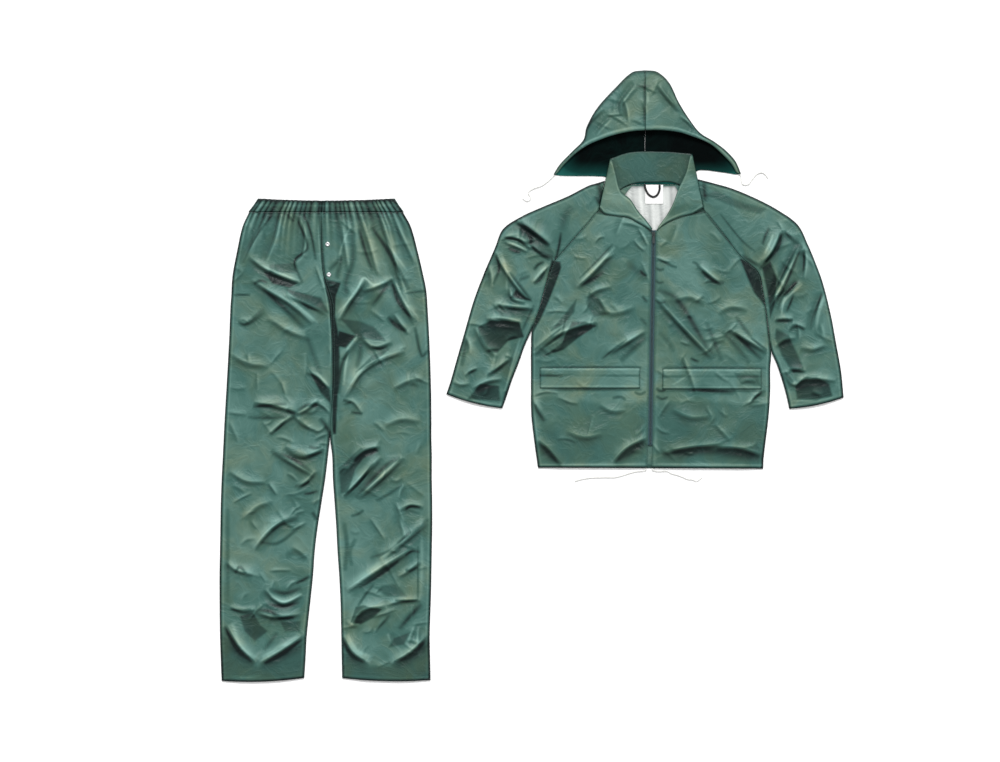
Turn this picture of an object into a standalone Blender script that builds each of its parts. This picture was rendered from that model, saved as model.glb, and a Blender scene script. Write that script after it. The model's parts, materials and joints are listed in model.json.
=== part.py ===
"""Two-piece rain suit laid out flat and face up: hooded zip jacket and elastic-waist trousers.

Sizes are in millimetres and become metres in the meshes. Each garment has its own origin: the
trousers at the centre front of the waist's top edge, the jacket at the centre front of its hem.
X runs to the right and Y towards the hood, as seen from above; Z is up and the surface is at 0.
"""

import math
from collections import namedtuple

import bmesh
import bpy
from mathutils import Vector
from mathutils.bvhtree import BVHTree

MM = 0.001

# Driving dimensions
CLOTH = 1.5
GAP = 0.3
BED = CLOTH + GAP
TROUSERS_AT = (-483.5, 423.5)
JACKET_AT = (286.5, -221.5)

TROUSER_ACROSS = 15
TROUSER_STEP = 33.0
FRONT_ACROSS = 14
FRONT_STEP = 26.0
SLEEVE_ACROSS = 8
SLEEVE_STEP = 32.0
TROUSER_CROWN = 3.6
JACKET_CROWN = 3.2
SLEEVE_CROWN = 3.6
CROWN_REACH = 55.0
FOLD_FADE = 34.0

WAIST_HEIGHT = 28.0
GATHER_PITCH = 12.5
GATHER_HEIGHT = 3.2
FLY_X = -20.6
SNAP_RADIUS = 5.5
SNAP_HEIGHT = 1.8
SNAP_FOOT = 0.7

HOOD_EDGE_RADIUS = 2.4
HOOD_SEAM_X = -14.5

SEAM_SHIFT = 0.8
TAPE_WIDTH = 25.4
TAPE_THICKNESS = 1.0
CHAIN_WIDTH = 6.0
CHAIN_THICKNESS = 1.6
FRONT_EDGE_OFFSET = 5.3
TAPE_Z = BED + 1.3
CHAIN_Z = TAPE_Z + TAPE_THICKNESS + GAP
LINING_THICKNESS = 1.0
LABEL_THICKNESS = 0.6
CORD_RADIUS = 1.5
LOOP_RADIUS = 1.2

SLIDER_Y = 562.0
SLIDER_LENGTH = 10.0
SLIDER_WIDTH = 8.0
SLIDER_PLATE = 1.0
BRIDGE_LENGTH = 7.0
BRIDGE_POST = 1.0
BRIDGE_CLEAR = 2.0
BRIDGE_WIDTH = 1.6
TAB_LENGTH = 23.0
TAB_HALF_WIDTH = 2.9
TAB_HALF_THICKNESS = 0.5

# A row is one line across a piece: its two ends, how far each end's underside lies above the
# layer below, and how far the line bows towards the hem at its middle.
Cut = namedtuple("Cut", "x1 y1 lift1 x2 y2 lift2 bow")
# A fold runs from one point to the other and is a soft ridge of this height and half width.
Fold = namedtuple("Fold", "x1 y1 x2 y2 high wide")
# The raglan seams, from the neck down to the underarms.
Raglan = namedtuple("Raglan", "left_x left_y right_x right_y lift")
# A hood row runs from the brim over the rim (the outer fold) and back to the seat (the neck).
HoodCut = namedtuple("HoodCut", "brim_x brim_y brim_z rim_x rim_y seat_x seat_y")
# A collar row runs from the neck seam to the collar's free edge.
CollarCut = namedtuple("CollarCut", "seam_x seam_y seam_z edge_x edge_y edge_z")

TROUSER_LEFT = [
    Cut(-194, -30.6, 1.6, FLY_X - 0.3, -30.6, 2.4, 0),
    Cut(-210, -66, 0.3, FLY_X - 0.3, -68, 2.4, 0),
    Cut(-223, -124, 0, FLY_X - 0.3, -124, 2.4, 0),
    Cut(-234, -184, 0, -17.3, -176, 2.4, 0),
    Cut(-237, -232, 0, -3.7, -220, 2.4, 0),
    Cut(-239, -262, 0, 4.7, -254, 2.4, 0),
    Cut(-242, -335, 0, 6.7, -335, 2.4, 0),
    Cut(-248, -445, 0, 6.7, -445, 2.4, 0),
    Cut(-253, -530, 0, 1.0, -530, 1.6, 0),
    Cut(-255, -570, 0, -0.6, -570, 0.3, 0),
    Cut(-257, -613, 0, -5, -613, 0, 0),
    Cut(-260, -671, 0, -12, -671, 0, 0),
    Cut(-262, -728, 0, -21, -728, 0, 0),
    Cut(-263, -786, 0, -30, -786, 0, 0),
    Cut(-264, -844, 0, -37, -844, 0, 0),
    Cut(-265, -901, 0, -41, -901, 0, 0),
    Cut(-265, -959, 0, -47, -959, 0, 0),
    Cut(-264, -1045, 0, -56, -1045, 0, 0),
    Cut(-262, -1105, 0, -59, -1100, 0, 0),
    Cut(-260, -1155, 0.3, -62, -1148, 0.3, 5),
]
TROUSER_RIGHT = [
    Cut(FLY_X + 0.3, -30.6, 2.4, 175, -30.6, 1.6, 0),
    Cut(FLY_X + 0.3, -68, 2.4, 194, -66, 0.3, 0),
    Cut(FLY_X + 0.3, -124, 2.4, 210, -124, 0, 0),
    Cut(-16.7, -176, 2.4, 224, -184, 0, 0),
    Cut(-3.1, -220, 2.4, 231, -220, 0, 0),
    Cut(5.3, -254, 2.4, 234, -262, 0, 0),
    Cut(7.3, -335, 2.4, 238, -335, 0, 0),
    Cut(7.3, -445, 2.4, 242, -445, 0, 0),
    Cut(1.6, -530, 1.6, 243, -530, 0, 0),
    Cut(0.0, -570, 0.3, 243, -570, 0, 0),
    Cut(5, -613, 0, 244, -613, 0, 0),
    Cut(7, -671, 0, 244, -671, 0, 0),
    Cut(11, -728, 0, 245, -728, 0, 0),
    Cut(15, -786, 0, 245, -786, 0, 0),
    Cut(18, -844, 0, 244, -844, 0, 0),
    Cut(22, -901, 0, 243, -901, 0, 0),
    Cut(25, -959, 0, 242, -950, 0, 0),
    Cut(27, -1045, 0, 239, -1045, 0, 0),
    Cut(28, -1100, 0, 240, -1105, 0, 0),
    Cut(29, -1148, 0.3, 241, -1153, 0.3, 5),
]

TROUSER_FOLDS = [
    Fold(-150, -28, -214, -190, 5, 15),
    Fold(-118, -28, -158, -150, 4, 14),
    Fold(-88, -28, -96, -130, 4, 14),
    Fold(-52, -28, -60, -170, 4.5, 15),
    Fold(18, -28, 14, -120, 4, 14),
    Fold(62, -28, 84, -170, 4.5, 15),
    Fold(100, -28, 140, -190, 4.5, 15),
    Fold(130, -28, 196, -240, 6, 17),
    Fold(-185, -170, -50, -240, 7, 26),
    Fold(-170, -215, -20, -290, 8, 28),
    Fold(-110, -225, -6, -330, 6, 24),
    Fold(30, -300, 110, -200, 9, 28),
    Fold(90, -205, 215, -300, 8, 28),
    Fold(60, -345, 200, -320, 6, 26),
    Fold(20, -345, 44, -480, 7, 24),
    Fold(40, -475, 190, -350, 8, 30),
    Fold(-200, -480, -75, -515, 7, 26),
    Fold(-85, -500, -20, -520, 6, 22),
    Fold(-150, -560, -75, -505, 6, 24),
    Fold(-60, -410, -2, -460, 6, 22),
    Fold(-115, -590, -10, -610, 8, 24),
    Fold(-135, -605, -30, -665, 7, 22),
    Fold(-90, -690, -24, -740, 6, 22),
    Fold(-185, -830, -70, -755, 6, 26),
    Fold(-240, -890, -80, -945, 7, 26),
    Fold(-185, -985, -70, -1000, 7, 24),
    Fold(-246, -1010, -170, -1120, 7, 26),
    Fold(-168, -1115, -62, -1040, 7, 26),
    Fold(60, -620, 115, -590, 7, 22),
    Fold(30, -715, 120, -615, 7, 24),
    Fold(70, -730, 175, -620, 8, 26),
    Fold(120, -870, 235, -775, 7, 26),
    Fold(40, -945, 200, -835, 8, 28),
    Fold(55, -1010, 180, -960, 7, 26),
    Fold(34, -1045, 95, -1112, 6, 24),
    Fold(145, -1115, 232, -1030, 7, 26),
]

RAGLANS = [
    Raglan(-130, 615, 130, 617, 1.8),
    Raglan(-138, 606, 138, 607, 1.7),
    Raglan(-150, 590, 150, 592, 1.6),
    Raglan(-178, 559, 178, 557, 1.5),
    Raglan(-216, 515, 214, 509, 1.5),
    Raglan(-235, 490, 257, 470, 1.5),
    Raglan(-254, 432, 268, 425, 1.5),
    Raglan(-266, 386, 276, 375, 1.2),
    Raglan(-277, 357, 282, 332, 0.8),
    Raglan(-286, 332, 288, 283, 0.3),
]
# The fronts below the underarm, from there down to the hem: outer edge, then zip edge.
Side = namedtuple("Side", "outer_x outer_y inner_x inner_y inner_lift")
FRONT_LEFT_TOP = [(-57, 606, 1.8), (-31, 590, 2.2), (0.7, 568, 2.6), (0.4, 540, 2.6), (-0.1, 505, 2.6),
                  (-0.7, 470, 2.6), (-1.4, 425, 2.6), (-2.2, 380, 2.6), (-2.7, 350, 2.6), (-3.3, 320, 2.6)]
FRONT_LEFT_SIDE = [
    Side(-288, 285, -4.0, 285, 2.6),
    Side(-288, 242, -4.7, 242, 2.6),
    Side(-288, 192, -5.5, 192, 2.6),
    Side(-288, 150, -6.2, 150, 2.6),
    Side(-286, 115, -6.7, 115, 2.6),
    Side(-278, 50, -7.9, 50, 2.6),
    Side(-274, 22, -9, 22, 1.8),
    Side(-271, 1.5, -9.5, 1, 0.6),
]
FRONT_RIGHT_TOP = [(61, 606, 1.8), (38, 590, 2.2), (11.6, 568, 2.6), (11.2, 540, 2.6), (10.7, 505, 2.6),
                   (10.1, 470, 2.6), (9.4, 425, 2.6), (8.6, 380, 2.6), (7.8, 330, 2.6), (7.1, 290, 2.6)]
FRONT_RIGHT_SIDE = [
    Side(288, 268, 6.7, 265, 2.6),
    Side(286, 240, 6.2, 240, 2.6),
    Side(286, 190, 5.4, 190, 2.6),
    Side(284, 150, 4.8, 150, 2.6),
    Side(281, 115, 4.2, 115, 2.6),
    Side(273, 50, 3.0, 50, 2.6),
    Side(270, 22, 1.6, 22, 1.8),
    Side(269, -1, 1.0, 1, 0.6),
]
FLAP_LEFT_ROWS = (242, 192)
FLAP_RIGHT_ROWS = (240, 190)

# The sleeves' outer edges: down the shoulder beside the raglan rows, then beside the underarm.
Edge = namedtuple("Edge", "x y lift")
SHOULDER_LEFT = [
    Edge(-114, 689, 0.8), Edge(-130, 684, 0.3), Edge(-150, 678, 0), Edge(-199, 653, 0),
    Edge(-258, 628, 0), Edge(-309, 605, 0), Edge(-355, 574, 0), Edge(-374, 530, 0),
    Edge(-386, 502, 0), Edge(-399, 472, 0),
]
SHOULDER_RIGHT = [
    Edge(114, 693, 0.8), Edge(131, 689, 0.3), Edge(150, 684, 0), Edge(192, 672, 0),
    Edge(250, 648, 0), Edge(305, 619, 0), Edge(352, 584, 0), Edge(377, 535, 0),
    Edge(393, 497, 0), Edge(412, 445, 0),
]
FOREARM_LEFT = [
    Cut(-425, 403, 0, -304, 292, 0, 0),
    Cut(-446, 331, 0, -317, 255, 0, 0),
    Cut(-468, 254, 0, -334, 211, 0, 0),
    Cut(-481, 208, 0, -347, 172, 0, 0),
    Cut(-491, 178, 0.3, -357, 144, 0.3, 5),
]
FOREARM_RIGHT = [
    Cut(432, 365, 0, 302, 250, 0, 0),
    Cut(444, 300, 0, 314, 214, 0, 0),
    Cut(456, 232, 0, 325, 175, 0, 0),
    Cut(462, 170, 0.3, 332, 143, 0.3, 5),
]

JACKET_FOLDS = [
    Fold(-120, 520, -205, 425, 8, 24),
    Fold(-60, 500, -110, 380, 6, 24),
    Fold(-270, 290, -160, 350, 8, 26),
    Fold(-165, 345, -60, 345, 6, 24),
    Fold(-95, 330, -14, 290, 7, 24),
    Fold(-260, 150, -215, 60, 6, 24),
    Fold(-200, 60, -60, 120, 5, 26),
    Fold(24, 450, 160, 250, 8, 26),
    Fold(110, 490, 175, 430, 6, 24),
    Fold(165, 380, 280, 270, 8, 26),
    Fold(60, 150, 130, 60, 6, 26),
    Fold(150, 40, 262, 150, 7, 24),
    Fold(-40, 40, -20, 160, 5, 20),
]
SLEEVE_FOLDS = [
    Fold(-340, 590, -236, 505, 8, 20),
    Fold(-350, 560, -250, 480, 7, 20),
    Fold(-362, 520, -290, 400, 7, 20),
    Fold(-405, 365, -310, 350, 8, 24),
    Fold(-410, 215, -340, 265, 6, 20),
    Fold(-470, 320, -455, 235, 5, 18),
    Fold(314, 585, 268, 505, 9, 20),
    Fold(365, 560, 300, 410, 8, 20),
    Fold(370, 480, 300, 370, 8, 20),
    Fold(300, 335, 380, 345, 7, 20),
    Fold(410, 420, 392, 310, 5, 20),
    Fold(330, 215, 400, 260, 6, 22),
]

HOOD_LEFT = [
    HoodCut(-224.4, 709.2, 4.7, -234.0, 705.6, -218.4, 702.0),
    HoodCut(-208.8, 728.4, 5.2, -218.4, 729.6, -189.6, 701.3),
    HoodCut(-180.0, 756.0, 7.5, -187.2, 762.0, -156.0, 701.3),
    HoodCut(-151.2, 775.2, 9.5, -162.0, 788.4, -129.6, 700.8),
    HoodCut(-122.4, 787.7, 11.5, -154.8, 818.4, -105.6, 698.0),
    HoodCut(-96.0, 796.8, 13.0, -129.6, 864.0, -90.0, 682.0),
    HoodCut(-69.6, 803.5, 14.0, -86.4, 912.0, -62.0, 681.2),
    HoodCut(-43.2, 808.1, 14.5, -45.6, 950.0, -38.0, 681.2),
    HoodCut(-14.8, 810.0, 14.5, -14.8, 955.2, -14.8, 681.2),
]
HOOD_RIGHT = [
    HoodCut(-14.2, 810.0, 14.5, -14.2, 955.2, -14.2, 681.2),
    HoodCut(14.4, 810.5, 14.5, 14.4, 951.4, 12.0, 681.2),
    HoodCut(43.2, 808.8, 14.0, 43.2, 925.7, 38.0, 681.2),
    HoodCut(72.0, 804.0, 13.0, 67.2, 877.2, 62.0, 681.2),
    HoodCut(98.4, 795.6, 11.5, 93.6, 835.2, 90.0, 684.0),
    HoodCut(122.4, 787.2, 9.5, 117.6, 805.2, 109.2, 712.8),
    HoodCut(146.4, 774.7, 7.8, 151.2, 784.1, 129.6, 715.2),
    HoodCut(170.4, 753.6, 6.4, 178.8, 763.2, 156.0, 712.1),
    HoodCut(192.0, 730.8, 5.4, 202.8, 736.8, 182.4, 708.5),
    HoodCut(204.0, 710.4, 4.7, 216.0, 706.8, 201.6, 705.1),
]

COLLAR = [
    CollarCut(1, 570, 7.2, 3, 575, 7.6),
    CollarCut(-17, 581, 7.2, -14, 597, 8.4),
    CollarCut(-36, 592, 7.4, -32, 618, 9.0),
    CollarCut(-55, 602, 7.8, -50, 645, 9.4),
    CollarCut(-88, 606, 8.2, -74, 667, 9.6),
    CollarCut(-112, 611, 8.3, -86, 710, 9.4),
    CollarCut(-121, 621, 8.2, -94, 740, 8.4),
    CollarCut(-123, 622, 7.2, -97, 741, 7.2),
    CollarCut(-124, 622, 5.5, -98, 742, 5.5),
    CollarCut(-123, 623, 3.8, -97, 743, 3.8),
    CollarCut(-121, 624, 3.3, -94, 744, 3.3),
    CollarCut(-98, 645, 3.3, -70, 753, 3.3),
    CollarCut(-68, 672, 3.3, -50, 758, 3.3),
    CollarCut(-36, 684, 3.3, -25, 760, 3.3),
    CollarCut(10, 686, 3.3, 10, 760, 3.3),
    CollarCut(50, 686, 3.3, 48, 759, 3.3),
    CollarCut(82, 672, 3.3, 74, 757, 3.3),
    CollarCut(108, 648, 3.3, 88, 756, 3.3),
    CollarCut(121, 625, 3.3, 95, 755, 3.3),
    CollarCut(124, 624, 3.8, 98, 755, 3.8),
    CollarCut(125, 624, 5.5, 99, 754, 5.5),
    CollarCut(124, 624, 7.2, 97, 753, 7.2),
    CollarCut(121, 622, 8.2, 93, 750, 8.4),
    CollarCut(98, 610, 8.3, 84, 712, 9.6),
    CollarCut(70, 603, 8.0, 66, 672, 9.6),
    CollarCut(48, 594, 7.6, 51, 632, 9.2),
    CollarCut(28, 583, 7.3, 34, 602, 8.6),
    CollarCut(13, 570, 7.2, 16, 576, 7.6),
]

NECK_LINING = [
    Cut(-46, 677, 0, 58, 677, 0, -6),
    Cut(-64, 650, 0, 70, 650, 0, 0),
    Cut(-50, 606, 0, 58, 606, 0, 0),
    Cut(-26, 566, 0, 36, 566, 0, 0),
]
NECK_LABEL = [Cut(-14, 680, 0, 29, 680, 0, 0), Cut(-14, 634, 0, 29, 634, 0, 0)]

Station = namedtuple("Station", "x y z")
HANGER_LOOP = [
    Station(-15, 681, 5.2), Station(-14, 672, 5.2), Station(-6, 657, 5.2), Station(5, 651, 5.2),
    Station(14, 655, 5.2), Station(20, 667, 5.2), Station(20.5, 680, 5.2),
]
HOOD_CORD_LEFT = [
    Station(-232.2, 703.9, 2.4), Station(-236.5, 699.5, 2.1), Station(-243, 693, 1.8),
    Station(-251, 686, 1.6), Station(-265, 677, 1.6),
    Station(-283, 671, 1.6), Station(-295, 662, 1.6), Station(-289, 651, 1.6), Station(-291, 644, 1.6),
    Station(-298, 641.5, 1.6), Station(-308, 648, 1.6),
]
HOOD_CORD_RIGHT = [
    Station(214.0, 705.4, 2.4), Station(216.2, 700.5, 2.1), Station(216.5, 692, 1.8),
    Station(220, 682, 1.6), Station(233, 681.5, 1.6),
    Station(244, 695, 1.6), Station(254, 706, 1.6), Station(265, 710, 1.6), Station(274, 705.5, 1.6),
    Station(281, 696, 1.6),
]
HEM_CORD_LEFT = [
    Station(-11.4, -0.5, 3.2), Station(-11.8, -3.0, 3.0), Station(-18, -5.8, 1.9),
    Station(-35, -7.4, 1.6), Station(-53, -12, 1.6),
    Station(-84, -21, 1.6), Station(-112, -21.5, 1.6), Station(-145, -22.5, 1.6), Station(-169, -26.5, 1.6),
    Station(-183.5, -31, 1.6),
]
HEM_CORD_RIGHT = [
    Station(3.0, -0.5, 3.2), Station(3.5, -3.0, 3.0), Station(9.5, -5.8, 1.9),
    Station(18, -7.4, 1.6), Station(38, -6.5, 1.6),
    Station(49, -12, 1.6), Station(67, -17, 1.6), Station(89, -26, 1.6), Station(100, -27, 1.6),
    Station(109, -30.5, 1.6), Station(122, -22, 1.6),
]

# Finishes: base colour, roughness, metallic
FINISHES = {
    "coated_nylon": ((0.055, 0.125, 0.105), 0.42, 0.0),
    "lining": ((0.62, 0.58, 0.57), 0.85, 0.0),
    "label": ((0.82, 0.82, 0.8), 0.8, 0.0),
    "black_tape": ((0.01, 0.01, 0.012), 0.7, 0.0),
    "zip_tape": ((0.035, 0.07, 0.09), 0.75, 0.0),
    "zip_coil": ((0.05, 0.09, 0.11), 0.4, 0.0),
    "zip_metal": ((0.03, 0.035, 0.035), 0.35, 0.8),
    "snap_metal": ((0.75, 0.76, 0.76), 0.3, 1.0),
    "cord": ((0.8, 0.8, 0.77), 0.85, 0.0),
}


def clear_scene():
    """Remove what a new file holds."""
    for old in list(bpy.data.objects):
        bpy.data.objects.remove(old, do_unlink=True)


def make_material(name):
    colour, roughness, metallic = FINISHES[name]
    material = bpy.data.materials.new(name)
    material.use_nodes = True
    shader = material.node_tree.nodes["Principled BSDF"]
    shader.inputs["Base Color"].default_value = (*colour, 1.0)
    shader.inputs["Roughness"].default_value = roughness
    shader.inputs["Metallic"].default_value = metallic
    return material


def smooth(t):
    """Ease from 0 to 1 with flat ends."""
    t = min(max(t, 0.0), 1.0)
    return t * t * (3.0 - 2.0 * t)


def blend(a, b, t):
    return a + (b - a) * t


def fold_height(fold, x, y):
    """Height of one fold at a point: a round ridge that runs out at both ends."""
    dx, dy = fold.x2 - fold.x1, fold.y2 - fold.y1
    length = math.hypot(dx, dy)
    along = ((x - fold.x1) * dx + (y - fold.y1) * dy) / length ** 2
    beside = abs((x - fold.x1) * dy - (y - fold.y1) * dx) / length
    if not 0.0 < along < 1.0 or beside >= fold.wide:
        return 0.0
    return fold.high * math.cos(0.5 * math.pi * beside / fold.wide) ** 2 * math.sin(math.pi * along) ** 0.6


def refine(rows, step):
    """Add evenly spaced rows between the rows of a table, and give each its distance along."""
    out, travelled = [], 0.0
    for first, second in zip(rows, rows[1:]):
        ends = (math.dist(first[:2], second[:2]), math.dist(first[-4:-2], second[-4:-2]))
        length = sum(ends) / 2
        count = max(1, round(length / step))
        for k in range(count):
            t = k / count
            out.append((type(first)(*(blend(a, b, t) for a, b in zip(first, second))), travelled + t * length))
        travelled += length
    out.append((rows[-1], travelled))
    return out


def lay_points(cuts, across, step, crown, folds):
    """Points of a piece's underside that lies over another: crowned, folded, low at its edges."""
    rows = refine(cuts, step)
    total = rows[-1][1]
    grid = []
    for cut, travelled in rows:
        width = math.hypot(cut.x2 - cut.x1, cut.y2 - cut.y1)
        ends = min(travelled, total - travelled)
        line = []
        for i in range(across + 1):
            u = i / across
            x = blend(cut.x1, cut.x2, u)
            y = blend(cut.y1, cut.y2, u) - cut.bow * 4 * u * (1 - u)
            edge = min(u, 1 - u) * width
            rise = crown * smooth(edge / CROWN_REACH) * blend(0.45, 1.0, smooth(ends / CROWN_REACH))
            rise += smooth(edge / FOLD_FADE) * sum(fold_height(f, x, y) for f in folds)
            line.append(Vector((x, y, BED + blend(cut.lift1, cut.lift2, u) + rise)))
        grid.append(line)
    return grid


def flat_points(cuts, across, z):
    """Points of a piece that lies flat at one height."""
    grid = []
    for cut in cuts:
        line = []
        for i in range(across + 1):
            u = i / across
            bow = cut.bow * 4 * u * (1 - u)
            line.append(Vector((blend(cut.x1, cut.x2, u), blend(cut.y1, cut.y2, u) - bow, z)))
        grid.append(line)
    return grid


class Suit:
    """The collection, the finishes and the two garments' origins."""

    def __init__(self):
        self.collection = bpy.data.collections.new("rain_suit")
        bpy.context.scene.collection.children.link(self.collection)
        self.materials = {name: make_material(name) for name in FINISHES}
        self.trousers = self.origin("trousers_origin", TROUSERS_AT)
        self.jacket = self.origin("jacket_origin", JACKET_AT)

    def origin(self, name, place):
        empty = bpy.data.objects.new(name, None)
        empty.location = (place[0] * MM, place[1] * MM, 0.0)
        self.collection.objects.link(empty)
        return empty

    def add(self, name, data, finish, parent):
        thing = bpy.data.objects.new(name, data)
        thing.parent = parent
        data.materials.append(self.materials[finish])
        self.collection.objects.link(thing)
        return thing

    def surface(self, grid, upward=True):
        """One open mesh of four-sided faces through a grid of points."""
        bm = bmesh.new()
        verts = [[bm.verts.new(p * MM) for p in line] for line in grid]
        for low, high in zip(verts, verts[1:]):
            for a, b, c, d in zip(low, low[1:], high[1:], high):
                bm.faces.new((a, b, c, d))
        bm.normal_update()
        first = next(iter(bm.faces))
        if (first.normal.z > 0) != upward:
            bmesh.ops.reverse_faces(bm, faces=bm.faces)
        return bm

    def panel(self, name, grid, finish, parent, thickness=CLOTH):
        """A cloth piece that lies flat: its underside raised straight up by its thickness."""
        bm = self.surface(grid)
        made = bmesh.ops.extrude_face_region(bm, geom=list(bm.faces))
        raised = [v for v in made["geom"] if isinstance(v, bmesh.types.BMVert)]
        bmesh.ops.translate(bm, verts=raised, vec=(0.0, 0.0, thickness * MM))
        bmesh.ops.recalc_face_normals(bm, faces=bm.faces)
        return self.finish_mesh(name, bm, finish, parent)

    def shell(self, name, grid, finish, parent, upward, offset):
        """A cloth piece that turns over at a fold: an open surface with a Solidify wall."""
        thing = self.finish_mesh(name, self.surface(grid, upward), finish, parent)
        wall = thing.modifiers.new("wall", "SOLIDIFY")
        wall.thickness = CLOTH * MM
        wall.offset = offset
        return thing

    def finish_mesh(self, name, bm, finish, parent):
        mesh = bpy.data.meshes.new(name)
        bm.to_mesh(mesh)
        bm.free()
        mesh.shade_smooth()
        mesh.set_sharp_from_angle(angle=math.radians(40))
        return self.add(name, mesh, finish, parent)

    def tube(self, name, stations, radius, spacing, finish, parent):
        """A round cord through the stations of its route."""
        points = smooth_route(stations, spacing)
        curve = bpy.data.curves.new(name, "CURVE")
        curve.dimensions = "3D"
        curve.bevel_depth = radius * MM
        curve.bevel_resolution = 2
        curve.use_fill_caps = True
        spline = curve.splines.new("POLY")
        spline.points.add(len(points) - 1)
        for target, point in zip(spline.points, points):
            target.co = (*(point * MM), 1.0)
        return self.add(name, curve, finish, parent)


def smooth_route(stations, spacing):
    """Points read from one smooth curve through the stations, about this far apart."""
    knots = [Vector(s) for s in stations]
    at = [0.0]
    for a, b in zip(knots, knots[1:]):
        at.append(at[-1] + (b - a).length)
    last = len(knots) - 1
    slopes = []
    for i in range(len(knots)):
        lo, hi = max(i - 1, 0), min(i + 1, last)
        slopes.append((knots[hi] - knots[lo]) / (at[hi] - at[lo]))
    count = max(2, round(at[-1] / spacing))
    points, span = [], 0
    for k in range(count + 1):
        s = at[-1] * k / count
        while span < last - 1 and s > at[span + 1]:
            span += 1
        h = at[span + 1] - at[span]
        t = (s - at[span]) / h
        points.append(
            knots[span] * (2 * t ** 3 - 3 * t ** 2 + 1)
            + slopes[span] * h * (t ** 3 - 2 * t ** 2 + t)
            + knots[span + 1] * (3 * t ** 2 - 2 * t ** 3)
            + slopes[span + 1] * h * (t ** 3 - t ** 2)
        )
    return points


def trouser_back_cuts(front_cuts, side):
    """A back half has its front's outline, but its centre seam is straight down to the crotch."""
    crotch = -570
    cuts = []
    for cut in front_cuts:
        centre = side * GAP
        if cut.y1 > crotch and cut.y2 > crotch:
            cut = cut._replace(x2=centre) if side < 0 else cut._replace(x1=centre)
        cuts.append(cut)
    return cuts


def waistband_grid():
    """Inner surface of the casing: front left, round the left side, back, and to the fly again."""
    top, bottom = -3.0, -3.0 - WAIST_HEIGHT + 1.0
    edges = {"left": (-171.0, -194.0), "right": (153.0, 175.0)}
    inner_low, inner_high = CLOTH, 3.1
    radius = (inner_high - inner_low) / 2
    width = edges["right"][0] - edges["left"][0]
    fly = (FLY_X - edges["left"][0]) / width
    stations = []
    count = round(width / GATHER_PITCH) * 4
    fly_gap = 0.3 / width
    fronts = [i / count for i in range(1, count)]

    def gather(u):
        ramp = smooth(min(u, 1 - u) * width / 14) * smooth(abs(u - fly) * width / 9)
        wave = 0.5 - 0.5 * math.cos(2 * math.pi * (u * width + 2.5 * math.sin(u * 21)) / GATHER_PITCH)
        return inner_high + ramp * (0.5 + GATHER_HEIGHT * wave)

    def turn(u, out):
        for k in range(1, 4):
            angle = math.pi / 2 - k * math.pi / 4
            stations.append((u, out * radius * math.cos(angle), inner_low + radius * (1 + math.sin(angle))))

    for u in [fly - fly_gap] + [f for f in reversed(fronts) if f < fly - 0.004] + [0.0]:
        stations.append((u, 0.0, gather(u)))
    turn(0.0, -1)
    for i in range(13):
        stations.append((i / 12, 0.0, inner_low))
    turn_start = len(stations)
    turn(1.0, 1)
    stations[turn_start:] = stations[turn_start:][::-1]
    for u in [1.0] + [f for f in reversed(fronts) if f > fly + 0.004] + [fly + fly_gap]:
        stations.append((u, 0.0, gather(u)))

    grid = []
    for u, out, z in stations:
        line = []
        for share, swell in ((0.0, 0.55), (0.5, 1.0), (1.0, 0.8)):
            left = blend(edges["left"][0], edges["left"][1], share)
            right = blend(edges["right"][0], edges["right"][1], share)
            sag = 5.0 * (2 * u - 1) ** 2 if share == 0 else 2.5 * (2 * u - 1) ** 2 * (1 - share)
            raised = inner_high + (z - inner_high) * swell if z > inner_high else z
            line.append(Vector((blend(left, right, u) + out, blend(top, bottom, share) + sag, raised)))
        grid.append(line)
    return grid


def hood_grid(cuts, step):
    """Outer surface of a hood half: brim, crown, round the rim, and flat below to the neck."""
    grid = []
    rows = refine_hood(cuts, step)
    rims = [Vector((cut.rim_x, cut.rim_y)) for cut in rows]
    for i_row, cut in enumerate(rows):
        brim = Vector((cut.brim_x, cut.brim_y))
        rim = rims[i_row]
        seat = Vector((cut.seat_x, cut.seat_y))
        r = HOOD_EDGE_RADIUS
        along = (rims[min(i_row + 1, len(rims) - 1)] - rims[max(i_row - 1, 0)]).normalized()
        if abs(rim.x - HOOD_SEAM_X) < 1.0:
            along = Vector((1.0, 0.0))
        inward = Vector((along.y, -along.x))
        if inward.dot(seat - rim) < 0:
            inward = -inward
        centre = rim + inward * r
        line = []
        for i in range(6):
            t = 1 - i / 6
            z = blend(2 * r, cut.brim_z, math.sin(t * math.pi / 2))
            spot = centre.lerp(brim, t)
            line.append(Vector((spot.x, spot.y, z)))
        for k in range(5):
            angle = math.pi / 2 - k * math.pi / 4
            spot = centre - inward * r * math.cos(angle)
            line.append(Vector((spot.x, spot.y, r + r * math.sin(angle))))
        for i in range(1, 5):
            spot = centre.lerp(seat, i / 4)
            line.append(Vector((spot.x, spot.y, 0.0)))
        grid.append(line)
    return grid


def refine_hood(cuts, step):
    """Rows between the hood's rows, spaced by the rim."""
    out = []
    for first, second in zip(cuts, cuts[1:]):
        length = max(math.dist(first[3:5], second[3:5]), math.dist(first[:2], second[:2]))
        count = max(1, round(length / step))
        for k in range(count):
            t = k / count
            out.append(HoodCut(*(blend(a, b, t) for a, b in zip(first, second))))
    out.append(cuts[-1])
    return out


def collar_grid():
    """Inner surface of the collar strip, from its left front point round the neck to the right."""
    across = 4
    grid = []
    for cut in COLLAR:
        seam = Vector((cut.seam_x, cut.seam_y, cut.seam_z))
        edge = Vector((cut.edge_x, cut.edge_y, cut.edge_z))
        grid.append([seam.lerp(edge, i / across) for i in range(across + 1)])
    return grid


def zip_x(y):
    """The zip's centre line leans a little to the right towards the neck."""
    return 6.0 - 8.0 * (574.0 - y) / 519.0


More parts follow.
